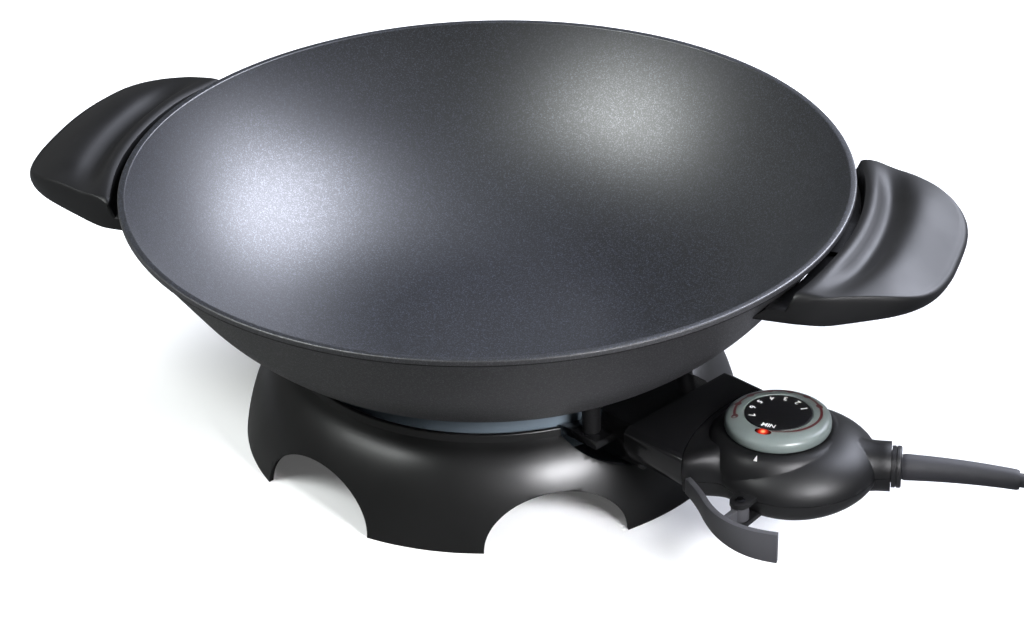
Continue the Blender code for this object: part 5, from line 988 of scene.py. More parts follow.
@dataclass
class Grips:
    """The two moulded side grips, each with a valley and a crest for the fingers."""

    rim_radius: float = RIM_RADIUS
    reach: float = 242.5 * MM
    half_span: float = 74.5 * MM
    inner_top: float = 190.3 * MM
    inner_bottom: float = 172.9 * MM
    wall_lean: float = 0.727
    bottom: float = 122.9 * MM
    height: float = 20.8 * MM
    edge: float = 3.2 * MM
    end_round: float = 4.5 * MM
    slot_floor: float = 131.6 * MM
    slot_width: float = 9.5 * MM
    stations: int = 72
    fade_from: float = 0.45
    full_corner: float = 0.95
    outline_shares: tuple[Spot, ...] = (
        (0.0, 1.0), (0.24, 0.99), (0.44, 0.945), (0.57, 0.875), (0.67, 0.775), (0.755, 0.63),
        (0.83, 0.435), (0.905, 0.20), (0.97, -0.02), (1.0, -0.125))
    top_shares: tuple[Spot, ...] = (
        (0.0, 0.88), (0.032, 0.94), (0.107, 0.93), (0.16, 0.79), (0.235, 0.65), (0.32, 0.70),
        (0.42, 0.84), (0.52, 0.88), (0.64, 0.82), (0.80, 0.65), (0.934, 0.48), (1.0, 0.41))
    end_shares: tuple[Spot, ...] = (
        (0.0, 0.80), (0.04, 0.85), (0.12, 0.86), (0.3, 0.83), (0.5, 0.80), (0.784, 0.66), (0.934, 0.48),
        (1.0, 0.41))
    under_shares: tuple[Spot, ...] = (
        (0.0, 0.0), (0.18, 0.03), (0.41, 0.09), (0.65, 0.14), (1.0, 0.17))

    def face(self, table: Outline, x: float, y: float) -> float:
        """Find the height of a face.

        Args:
            table: Shares of the grip's height by shares of its reach.
            x: Place across the bowl.
            y: Place along the grip.

        Returns:
            The height there.
        """
        share = (math.hypot(x, y) - self.inner_top) / (self.reach - self.inner_top)
        return self.bottom + self.height * read_curve(table, max(0.0, share))

    def top_face(self, x: float, y: float) -> float:
        """Find the height of the upper face, whose valley fades towards both ends."""
        fade = ease((abs(y) / self.half_span - self.fade_from) / (1 - self.fade_from))
        return mix(self.face(self.top_shares, x, y), self.face(self.end_shares, x, y), fade)

    def ring(self, across: float, side: int) -> list[Point]:
        """Draw one section of a grip, drawn in towards the rounded ends.

        Args:
            across: Share of the half span, from one end to the other.
            side: 1 for the right grip and -1 for the left one.

        Returns:
            The section's points, with the first one repeated last.
        """
        y = across * self.half_span
        past = max(0.0, abs(y) - self.half_span + self.end_round)
        inset = self.end_round - math.sqrt(self.end_round ** 2 - past ** 2)
        top_start = math.sqrt(self.inner_top ** 2 - y ** 2) + inset * 0.5
        under_start = math.sqrt(self.inner_bottom ** 2 - y ** 2) + inset * 0.3
        read = abs(across) * (self.full_corner if side * across < 0 else 1.0)
        reach = mix(self.rim_radius, self.reach, read_curve(self.outline_shares, read)) - inset
        edge = min(self.edge, (reach - top_start) * 0.4)
        ring = []
        for share in shares(30):
            x = mix(top_start, reach - edge, share)
            ring.append((x, y, self.top_face(x, y) - inset))
        top = ring[-1][2]
        under = self.face(self.under_shares, reach - edge, y) + inset * 0.6
        middle, half = (top + under) / 2, (top - under) / 2
        for out, up in arc((0.0, 0.0), 1.0, 75, -75, 8):
            ring.append((reach - edge + edge * out, y, middle + half * up * 0.99))
        for share in reversed(shares(8)):
            x = mix(under_start, reach - edge, share)
            ring.append((x, y, self.face(self.under_shares, x, y) + inset * 0.6))
        # The inner face follows the bowl's wall up to the floor of the slot under the rim
        wall = under_start + (self.slot_floor - self.bottom) * self.wall_lean
        ring.append((wall, y, self.slot_floor - inset * 0.2))
        ring.append((min(wall + self.slot_width, top_start - 0.6 * MM), y, self.slot_floor - inset * 0.2))
        ring.append(ring[0])
        return [(side * x, y, z) for x, y, z in ring]

    def build(self) -> None:
        """Build both grips."""
        finish = GRIP_PLASTIC.build()
        for name, side in (("right_grip", 1), ("left_grip", -1)):
            turns = [math.pi / 2 * (2 * share - 1) for share in shares(self.stations)]
            grip = skin_rings(name, [self.ring(mix(math.sin(turn), turn / math.pi * 2, 0.35), side)
                                     for turn in turns])
            round_edges(grip, 0.8 * MM, 3, 50)
            pocket = add_block("pocket", (side * 160 * MM, -16.3 * MM, 127.7 * MM),
                               (side * 210.3 * MM, 16.3 * MM, 133.9 * MM))
            seat = add_rod("seat", 4.2 * MM, 118 * MM, 124.8 * MM, (side * 202 * MM, 0.0))
            combine(grip, [pocket, seat], Cut.TAKE)
            smooth(grip, 40)
            node = "right_handle" if side > 0 else "left_handle"
            dress(grip, Body.WOK, finish, [node])


@dataclass
class Stand:
    """The bell-shaped stand: a skirt with six scallops, a collar, a flange and the arm's notch."""

    arm: Matrix
    foot: float = 130.0 * MM
    collar: float = 105.0 * MM
    height: float = 53.0 * MM
    band: float = 4.4 * MM
    lip_round: float = 0.9 * MM
    wall: float = 2.6 * MM
    sink: float = 15.0 * MM
    rise_share: float = 1.0377
    bore: float = 78.0 * MM
    flange: float = 29.0 * MM
    flange_top: float = 31.4 * MM
    scallop_width: float = 74.0 * MM
    scallop_height: float = 27.6 * MM
    notch_width: float = 90.0 * MM
    notch_depth: float = 21.5 * MM
    notch_centre: float = 50.0 * MM
    notch_start: float = 92.0 * MM
    facets: int = 216

    def skirt(self, height: float) -> float:
        """Find the outer radius of the skirt, an elliptic bell.

        Args:
            height: Height over the feet.

        Returns:
            The radius there.
        """
        foot = self.height - self.band
        rise = (foot + self.sink) * self.rise_share
        low = math.sqrt(1 - (self.sink / rise) ** 2)
        high = math.sqrt(1 - ((foot + self.sink) / rise) ** 2)
        here = math.sqrt(1 - ((height + self.sink) / rise) ** 2)
        return self.collar + (self.foot - self.collar) * (here - high) / (low - high)

    def outline(self) -> list[Spot]:
        """Draw the section of the skirt, the collar and the flange.

        Returns:
            Radius and height of each corner.
        """
        foot = self.height - self.band
        section = [(self.skirt(foot * share), foot * share) for share in shares(28)]
        crown = self.height - self.lip_round
        section += arc((self.collar - self.lip_round, crown), self.lip_round, 0, 90, 4)
        section += arc((self.collar - self.wall + self.lip_round, crown), self.lip_round, 90, 180, 4)
        section.append((self.collar - self.wall, foot - self.wall))
        for share in (0.92, 0.86, 0.79, 0.72):
            section.append((self.skirt(foot * share) - self.wall, foot * share - self.wall / 2))
        section += [(self.skirt(self.flange_top) - self.wall, self.flange_top),
                    (self.bore, self.flange_top), (self.bore, self.flange),
                    (self.skirt(self.flange) - self.wall, self.flange)]
        for step in range(7, -1, -1):
            height = self.flange * step / 8
            section.append((self.skirt(height) - self.wall, height))
        return section

    def build(self) -> None:
        """Build the stand and cut its scallops and notch."""
        stand = spin_outline("scalloped_stand", self.outline(), self.facets)
        cuts = []
        for index in range(6):
            outline = [(x * self.scallop_width / 2, y * self.scallop_height)
                       for x, y in arc((0.0, 0.0), 1.0, 1, 179, 64)]
            outline += [(-self.scallop_width / 2, -OVERRUN), (self.scallop_width / 2, -OVERRUN)]
            cut = extrude_outline("scallop", outline, self.bore, self.foot + OVERRUN)
            cuts.append(settle(cut, turned(30 + 60 * index) @ TURN_UP))
        outline = [(x * self.notch_width / 2, self.notch_centre + y * self.notch_depth)
                   for x, y in arc((0.0, 0.0), 1.0, 180, 360, 64)]
        outline += [(side * self.notch_width / 2, self.height + OVERRUN) for side in (1, -1)]
        cuts.append(settle(extrude_outline("notch", outline, self.notch_start, self.foot), TURN_UP))
        combine(stand, cuts, Cut.TAKE)
        round_edges(stand, 0.5 * MM, 2, 50)
        settle(smooth(stand, 45), self.arm)
        dress(stand, Body.WOK, STAND_PLASTIC.build(), ["stand"])


@dataclass
class Reflector:
    """The spun cup round the element, seen as a band between the bowl and the stand."""

    arm: Matrix
    radius: float = 94.5 * MM
    sheet: float = 0.9 * MM
    bend: float = 2.6 * MM
    bottom: float = 31.7 * MM
    edge: float = 0.3 * MM

    def build(self) -> None:
        """Build the cup and cut the window for the terminals."""
        outer, inner, low = self.radius, self.radius - self.sheet, self.bottom
        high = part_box("heat_reflector")[1].z
        section = [(0.0, low)]
        section += arc((outer - self.bend, low + self.bend), self.bend, -90, 0, 6)
        section += [(outer, high - self.edge), (outer - self.edge, high), (inner, high)]
        section += arc((inner - self.bend, low + self.sheet + self.bend), self.bend, 0, -90, 6)
        section.append((0.0, low + self.sheet))
        cup = spin_outline("spun_reflector", section, 144)
        window = add_block("window", (self.radius - 11 * MM, -22 * MM, 40.4 * MM),
                           (self.radius + OVERRUN, 22 * MM, high + OVERRUN))
        combine(cup, [window], Cut.TAKE)
        settle(smooth(cup, 40), self.arm)
        dress(cup, Body.WOK, REFLECTOR_METAL.build(), ["heat_reflector"])


@dataclass
class Shroud:
    """The gloss tunnel over the terminals, with the mouth that the controller meets."""

    arm: Matrix
    top: float = 64.5 * MM
    half: float = 38.0 * MM
    shoulder: float = 53.5 * MM
    lower_half: float = 36.0 * MM
    bottom: float = 33.0 * MM
    wall: float = 2.6 * MM
    corner: float = 4.0 * MM
    start: float = 131.0 * MM
    mouth_radius: float = 97.0 * MM
    clear_radius: float = 98.3 * MM
    duct: tuple[Point, Point] = ((104.5 * MM, -27.2 * MM, 37.4 * MM), (133.6 * MM, 27.2 * MM, 60.3 * MM))
    duct_bore: tuple[Point, Point] = ((102.5 * MM, -24.6 * MM, 40 * MM), (136.2 * MM, 24.6 * MM, 57.7 * MM))

    def section(self, inset: float) -> list[Spot]:
        """Draw the section of the tunnel: a flat top with round edges over an elliptic belly.

        Args:
            inset: How far the section lies inside the outer face.

        Returns:
            The section's corners, across the arm and up.
        """
        half, lower, top = self.half - inset, self.lower_half - inset, self.top - inset
        corner = self.corner - inset * 0.8
        outline = arc((half - corner, top - corner), corner, 0, 90, 10)
        outline += arc((corner - half, top - corner), corner, 90, 180, 10)
        outline.append((-half, self.shoulder))
        belly = self.shoulder - self.bottom - inset
        outline += [(x * lower, self.shoulder + y * belly)
                    for x, y in arc((0.0, 0.0), 1.0, 180, 360, 56)]
        outline.append((half, self.shoulder))
        return outline

    def build(self) -> None:
        """Build the tunnel, its duct and its ears, and cut its mouth."""
        end = MOUTH_AXIS[0] - self.mouth_radius * 0.8
        shroud = settle(extrude_outline("shroud", self.section(0.0), self.start, end), TURN_UP)
        ears = [add_block("ear", (90.3 * MM, side * 25.9 * MM, 46 * MM),
                          (114 * MM, side * 40 * MM, 50.5 * MM)) for side in (-1, 1)]
        combine(shroud, [add_block("duct", *self.duct), *ears], Cut.ADD)
        hollow = settle(extrude_outline("hollow", self.section(self.wall), self.start + self.wall,
                                        end + OVERRUN), TURN_UP)
        bore = add_block("bore", *self.duct_bore)
        mouth = add_rod("mouth", self.mouth_radius, 0.0, CUTTER_TOP, MOUTH_AXIS, 288)
        clear = add_rod("clear", self.clear_radius, 0.0, CUTTER_TOP, sides=240)
        combine(shroud, [hollow, bore, mouth, clear], Cut.TAKE)
        round_edges(shroud, 0.45 * MM, 2, 50)
        settle(smooth(shroud, 40), self.arm)
        dress(shroud, Body.WOK, SHROUD_PLASTIC.build(), ["terminal_shroud"])


@dataclass
class Housing:
    """The controller's two shells: a box-like hood that runs into a round bulb."""

    arm: Matrix
    parting: float = PARTING
    bulb: Spot = BULB_AXIS
    radius: float = 41.0 * MM
    bulb_top: float = 20.5 * MM
    bulb_bottom: float = 20.0 * MM
    start: float = 146.0 * MM
    wall: float = 2.4 * MM
    waist: Spot = (168.0 * MM, 187.0 * MM)
    shoulder: Spot = (157.0 * MM, 190.0 * MM)
    hood_half: float = 38.0 * MM
    hood_top: float = 64.5 * MM
    hood_bottom: float = 33.0 * MM
    mouth_radius: float = 96.7 * MM
    opening: tuple[Point, Point] = ((146 * MM, -22.8 * MM, 40.3 * MM), (166 * MM, 22.8 * MM, 57.3 * MM))
    pedestal: float = 69.2 * MM
    pedestal_radius: float = 26.4 * MM
    pedestal_spread: float = 9.3 * MM
    pedestal_drop: float = 16.0 * MM
    ear_half: float = 5.0 * MM
    screw_bearings: tuple[float, ...] = (-40.0, 88.0, 130.0)
    slab: float = 300.0 * MM
    upper_powers: tuple[float, float] = (5.5, 2.0)
    lower_power: float = 2.15
    tip_share: float = 0.998

    def edges(self, u: float, inset: float) -> tuple[float, float, float, float]:
        """Find how far the loft reaches at a place on the arm.

        Args:
            u: The place along the arm.
            inset: How far the loft lies inside the outer face.

        Returns:
            Near edge, far edge, height over the parting and depth under it.
        """
        radius = self.radius - inset
        share = max(-self.tip_share, min(self.tip_share, (u - self.bulb[0]) / radius))
        full = math.sqrt(1 - share ** 2)
        waist = ease((u - self.waist[0]) / (self.waist[1] - self.waist[0]))
        shoulder = ease((u - self.shoulder[0]) / (self.shoulder[1] - self.shoulder[0]))
        return (mix(inset - self.hood_half, self.bulb[1] - radius * full, waist),
                mix(self.hood_half - inset, self.bulb[1] + radius * full, shoulder),
                mix(self.hood_top - self.parting - inset, (self.bulb_top - inset) * full, shoulder),
                mix(self.parting - self.hood_bottom - inset, (self.bulb_bottom - inset) * full, shoulder))

    def half(self, name: str, side: int, inset: float, extent: float, ceiling: float) -> Thing:
        """Loft one shell.

        Args:
            name: The object's name.
            side: 1 for the upper shell and -1 for the lower one.
            inset: How far the loft lies inside the outer face.
            extent: How far it runs past the parting.
            ceiling: Height that it is cut off at.

        Returns:
            A closed body.
        """
        radius = self.radius - inset
        stations = [mix(self.start, self.bulb[0], share) for share in shares(26)[:-1]]
        stations += [self.bulb[0] + radius * math.sin(math.pi / 2 * share) for share in shares(28)[:-1]]
        stations.append(self.bulb[0] + radius * self.tip_share)
        rings = []
        for u in stations:
            near, far, over, under = self.edges(u, inset)
            height = over if side > 0 else under
            fade = ease((u - self.waist[0]) / (self.waist[1] - self.waist[0]))
            power = mix(*self.upper_powers, fade) if side > 0 else self.lower_power
            ring = [(u, far, self.parting - side * extent)]
            for share in shares(56):
                turn = math.pi * share
                across = math.copysign(abs(math.cos(turn)) ** (2 / power), math.cos(turn))
                up = abs(math.sin(turn)) ** (2 / power) if 0 < share < 1 else 0.0
                rise = min(height * up, ceiling - self.parting)
                ring.append((u, mix(near, far, (1 + across) / 2), self.parting + side * rise))
            ring.append((u, near, self.parting - side * extent))
            ring.append(ring[0])
            rings.append(ring)
        return skin_rings(name, rings)

    def ear(self, low: float, high: float) -> Thing:
        """Build a round-ended tab from the bulb to the lever's pin.

        Args:
            low: Height of its lower face.
            high: Height of its upper face.

        Returns:
            A closed body.
        """
        away = Vector(LEVER_AXIS) - Vector(self.bulb)
        bearing = math.degrees(math.atan2(away.y, away.x))
        outline = arc(LEVER_AXIS, self.ear_half, bearing - 90, bearing + 90, 20)
        root = around(self.bulb, self.radius * 0.8, bearing)
        outline += [around(root, self.ear_half, bearing + side * 90) for side in (1, -1)]
        return extrude_outline("ear", outline, low, high)

    def shell(self, name: str, side: int, extras: Sequence[Thing]) -> Thing:
        """Loft a shell, add its neck and extras, hollow it and trim it at the parting.

        Args:
            name: The object's name.
            side: 1 for the upper shell and -1 for the lower one.
            extras: Bodies that become part of it, which are used up.

        Returns:
            The open shell.
        """
        top = self.parting + self.bulb_top
        ceiling = self.pedestal - self.wall if side > 0 else top
        body = self.half(name, side, 0.0, OVERRUN, top)
        lay = Matrix.Translation((*self.bulb, self.parting)) @ turned(NECK_BEARING) @ TURN_UP
        root, throat, end = (22 * MM, 17 * MM), (42 * MM, 12.2 * MM), 46.4 * MM
        flare = [(mix(throat[1], root[1], (1 - share) ** 2), mix(root[0], throat[0], share))
                 for share in shares(16)]
        neck = spin_outline("neck", [(0.0, root[0]), *flare, (throat[1], end), (0.0, end)], 96)
        combine(body, [settle(neck, lay), *extras], Cut.ADD)
        combine(body, [add_rod("mouth", self.mouth_radius, 0.0, CUTTER_TOP, MOUTH_AXIS, 288)], Cut.KEEP)
        cavity = self.half("cavity", side, self.wall, OVERRUN * 2, ceiling)
        front = add_rod("front", self.mouth_radius - self.wall, 0.0, CUTTER_TOP, MOUTH_AXIS, 288)
        combine(cavity, [front], Cut.KEEP)
        bore = settle(add_rod("bore", 8.1 * MM, 28 * MM, 49 * MM, sides=72), lay)
        edge = self.parting + side * GAP / 2
        slab = add_block("slab", (-self.slab, -self.slab, edge),
                         (self.slab, self.slab, edge - side * self.slab / 3))
        combine(body, [cavity, bore, slab, add_block("opening", *self.opening)], Cut.TAKE)
        return body

    def build(self) -> Thing:
        """Build both shells.

        Returns:
            The upper shell, which carries the pointer.
        """
        foot = self.pedestal - self.pedestal_drop
        dome = [(self.pedestal_radius + self.pedestal_spread * out, foot + self.pedestal_drop * up)
                for out, up in arc((0.0, 0.0), 1.0, 0, 90, 24)]
        pedestal = spin_outline("pedestal", [(0.0, foot), *dome, (0.0, self.pedestal)], 144)
        settle(pedestal, Matrix.Translation((*DIAL_AXIS, 0.0)))
        ear = self.ear(self.parting - OVERRUN, self.parting + 2.4 * MM)
        upper = self.shell("upper_shell", 1, [pedestal, ear])
        clear = add_rod("clear", DIAL_RADIUS + 0.8 * MM, self.pedestal, 90 * MM, DIAL_AXIS, 144)
        combine(upper, [clear, add_rod("hub", 6.3 * MM, 60 * MM, 80 * MM, DIAL_AXIS)], Cut.TAKE)
        lower = self.shell("lower_shell", -1, [self.ear(40.9 * MM, 43.3 * MM)])
        seats = []
        for bearing in self.screw_bearings:
            spot = around(self.bulb, self.radius * 0.68, bearing)
            boss = add_rod("boss", 5.2 * MM, 36 * MM, 50.8 * MM, spot)
            combine(boss, [self.half("outer", -1, 0.0, OVERRUN, self.parting + self.bulb_top)], Cut.KEEP)
            combine(lower, [boss], Cut.ADD)
            seats.append(add_rod("seat", 4.2 * MM, 20 * MM, 41 * MM, spot))
        combine(lower, seats, Cut.TAKE)
        finish = HOUSING_PLASTIC.build()
        for shell, node in ((upper, "upper_housing"), (lower, "lower_housing")):
            round_edges(shell, 0.5 * MM, 2, 50)
            settle(smooth(shell, 35), self.arm)
            dress(shell, Body.CONTROLLER, finish, [node])
        return upper


@dataclass
class Dial:
    """The dial: a tinted ring with joined dots, and a disc with its scale."""

    arm: Matrix
    radius: float = DIAL_RADIUS
    inner: float = 16.6 * MM
    low: float = 69.5 * MM
    top: float = 77.3 * MM
    disc_foot: float = 74.9 * MM
    hub_foot: float = 68.3 * MM
    glow_radius: float = 3.4 * MM
    lens: Spot = (4.2 * MM, 2.0 * MM)
    ring_shares: tuple[Spot, ...] = (
        (0.0, 0.0), (0.88, 0.0), (0.96, 0.04), (1.0, 0.14), (1.0, 0.42), (0.985, 0.54), (0.94, 0.64),
        (0.87, 0.72), (0.74, 0.81), (0.6, 0.875), (0.48, 0.915), (0.3, 0.96), (0.15, 0.985), (0.06, 0.998),
        (0.02, 0.985), (0.0, 0.95))
    numerals: tuple[tuple[str, float], ...] = (
        ("MIN", -69.7), ("1", 57.9), ("2", 85.4), ("3", 115.6), ("4", 144.7), ("5", 174.4), ("6", 201.7),
        ("7", 235.2))
    dots: tuple[float, ...] = (60.8, 89.6, 114.9, 142.0, 170.6, 198.3, 230.0)
    figure_circle: float = 13.1 * MM
    figure_size: float = 4.3 * MM
    word_size: float = 3.9 * MM
    figure_depth: float = 0.03 * MM
    figure_weight: float = 0.09 * MM
    figure_lift: float = 0.035 * MM
    dot_circle: float = 21.0 * MM
    dot_radius: float = 1.75 * MM
    lamp_circle: float = 17.6 * MM

    def scale(self) -> Thing:
        """Print the scale on the disc, every figure's top towards the axis.

        Returns:
            The joined figures.
        """
        figures = []
        for words, bearing in self.numerals:
            text = add("figure", bpy.ops.object.text_add)
            text.data.body = words
            text.data.size = self.figure_size if len(words) == 1 else self.word_size
            text.data.extrude = self.figure_depth
            text.data.offset = self.figure_weight
            text.data.align_x = "CENTER"
            text.data.align_y = "CENTER"
            focus(text)
            bpy.ops.object.convert(target="MESH")
            x, y = around(DIAL_AXIS, self.figure_circle, bearing)
            place = Matrix.Translation((x, y, self.top + self.figure_lift))
            figures.append(settle(take("figure"), place @ turned(bearing + 90)))
        return join("dial_scale", figures)

    def marks(self, ring: Thing) -> Thing:
        """Print the dots on the ring and the line that joins them.

        Args:
            ring: The dial's ring, which carries them.

        Returns:
            The joined marks.
        """
        line = []
        start = POINTER_BEARING + 10
        for share in shares(90):
            bearing = mix(start, self.dots[-1], share)
            out = ease((bearing - start) / (self.dots[0] - start))
            circle = mix(self.lamp_circle, self.dot_circle, out)
            width = mix(0.25, 0.62, ease((bearing - start) / 60)) * MM
            line.append([(*around(DIAL_AXIS, circle + side * width, bearing), 0.0) for side in (-1, 1)])
        line = skin_rings("line", line, caps=False)
        dots = [extrude_outline("dot", arc(around(DIAL_AXIS, self.dot_circle, bearing), self.dot_radius,
                                           0, 345, 23), 0.0, FILM) for bearing in self.dots]
        return drop_onto(join("dial_marks", [line, *dots]), ring, PRINT_LIFT)

    def build(self) -> None:
        """Build the ring, the disc, the scale and the marks."""
        place = Matrix.Translation((*DIAL_AXIS, 0.0))
        section = [(mix(self.inner, self.radius, out), mix(self.low, self.top, up))
                   for out, up in self.ring_shares]
        ring = settle(smooth(spin_outline("tinted_ring", section, 144), 60), place)
        disc_radius = self.inner - GAP
        disc = spin_outline("dial_face", [
            (0.0, self.disc_foot), (2.8 * MM, self.disc_foot), (2.8 * MM, self.hub_foot),
            (6 * MM, self.hub_foot), (6 * MM, self.disc_foot), (disc_radius, self.disc_foot),
            *arc((disc_radius - 0.5 * MM, self.top - 0.5 * MM), 0.5 * MM, 0, 90, 4),
            (0.0, self.top)], 120)
        settle(smooth(disc, 35), place)
        scale = self.scale()
        marks = self.marks(ring)
        for piece in (ring, disc, scale, marks):
            settle(piece, self.arm)
        dress(ring, Body.DIAL, RING_RESIN.build(), ["dial_ring"])
        dress(disc, Body.DIAL, DISC_PLASTIC.build(), ["dial_disc"])
        dress(scale, Body.DIAL, SCALE_INK.build())
        dress(marks, Body.DIAL, RING_INK.build())
        self.lamp(ring)

    def lamp(self, ring: Thing) -> None:
        """Lay the lamp's patch of light at the pointer, which stays with the controller.

        Args:
            ring: The dial's ring, which lies under it.
        """
        x, y = around(DIAL_AXIS, self.lamp_circle + 1.2 * MM, POINTER_BEARING - 2)
        lay = self.arm @ Matrix.Translation((x, y, 0.0)) @ turned(POINTER_BEARING)
        outline = [(out * self.lens[1], across * self.lens[0])
                   for across, out in arc((0.0, 0.0), 1.0, 0, 350, 35)]
        lens = settle(extrude_outline("lamp_light", outline, 0.0, FILM), lay)
        drop_onto(lens, ring, LIGHT_LIFT)
        centre = self.arm @ Vector((x, y, 0.0))
        height = max(vertex.co.z for vertex in lens.data.vertices)
        glow = LampGlow("pilot_lamp_light", "#ffe89a", "#f0301a", "#5c0f08", "#3c1010",
                        (centre.x, centre.y, height), self.glow_radius)
        dress(lens, Body.CONTROLLER, glow.build())


@dataclass
class Pointer:
    """The small printed triangle on the pedestal that the dial is read against."""

    arm: Matrix
    circle: float = 29.2 * MM
    length: float = 2.8 * MM
    width: float = 1.9 * MM

    def build(self, ground: Thing) -> None:
        """Build the triangle and lay it on the upper shell.

        Args:
            ground: The upper shell, which carries it.
        """
        lay = self.arm @ Matrix.Translation((*DIAL_AXIS, 0.0)) @ turned(POINTER_BEARING)
        near, far = self.circle - self.length / 2, self.circle + self.length / 2
        corners = [(near, 0.0), (far, self.width / 2), (far, -self.width / 2)]
        mark = settle(extrude_outline("pointer_mark", corners, 0.0, FILM), lay)
        in_edit_mode(mark, lambda: bpy.ops.mesh.subdivide(number_cuts=3))
        drop_onto(mark, ground, PRINT_LIFT)
        dress(mark, Body.CONTROLLER, SCALE_INK.build())


@dataclass
class Lever:
    """The squeeze lever: a curved band with a web and a hub on its pin."""

    arm: Matrix
    top: float = 56.0 * MM
    depth: float = 15.6 * MM
    nose: float = 8.6 * MM
    thickness: float = 2.8 * MM
    hub: Spot = (43.6 * MM, 50.6 * MM)
    probe: float = 0.5 * MM
    path: tuple[Spot, ...] = (
        (-28.6 * MM, -5.4 * MM), (-22.0 * MM, -7.8 * MM), (-14.5 * MM, -11.2 * MM),
        (-6.5 * MM, -15.4 * MM), (2.0 * MM, -18.4 * MM), (11.0 * MM, -19.4 * MM),
        (20.0 * MM, -18.2 * MM), (28.0 * MM, -15.2 * MM), (34.0 * MM, -12.0 * MM))

    def build(self) -> None:
        """Build the lever."""
        first, last = self.path[0][0], self.path[-1][0]
        rings = []
        for share in shares(48):
            x = mix(first, last, share)
            before, after = max(first, x - self.probe), min(last, x + self.probe)
            along = Vector((after - before, read_curve(self.path, after) - read_curve(self.path, before)))
            across = along.orthogonal().normalized() * self.thickness / 2
            low = self.top - mix(self.nose, self.depth, ease(share))
            spot = Vector((x, read_curve(self.path, x)))
            rings.append([(*(spot + across * side), height) for side, height in (
                (1, low), (1, self.top), (-1, self.top), (-1, low), (1, low))])
        band = skin_rings("squeeze_lever", rings)
        middle = Vector(self.path[len(self.path) // 2])
        side = middle.orthogonal().normalized() * self.thickness / 2
        corners = [tuple(corner) for corner in (side, middle + side, middle - side, -side)]
        web = extrude_outline("web", corners,
                              self.hub[0] + GAP, self.hub[1] - GAP)
        hub = add_rod("hub", 4.4 * MM, *self.hub)
        combine(band, [web, hub], Cut.ADD)
        combine(band, [add_rod("bore", 2.0 * MM, 40 * MM, 54 * MM)], Cut.TAKE)
        round_edges(band, 0.4 * MM, 2, 50)
        settle(smooth(band, 40), self.arm @ Matrix.Translation((*LEVER_AXIS, 0.0)))
        dress(band, Body.LEVER, LEVER_PLASTIC.build(), ["release_lever"])


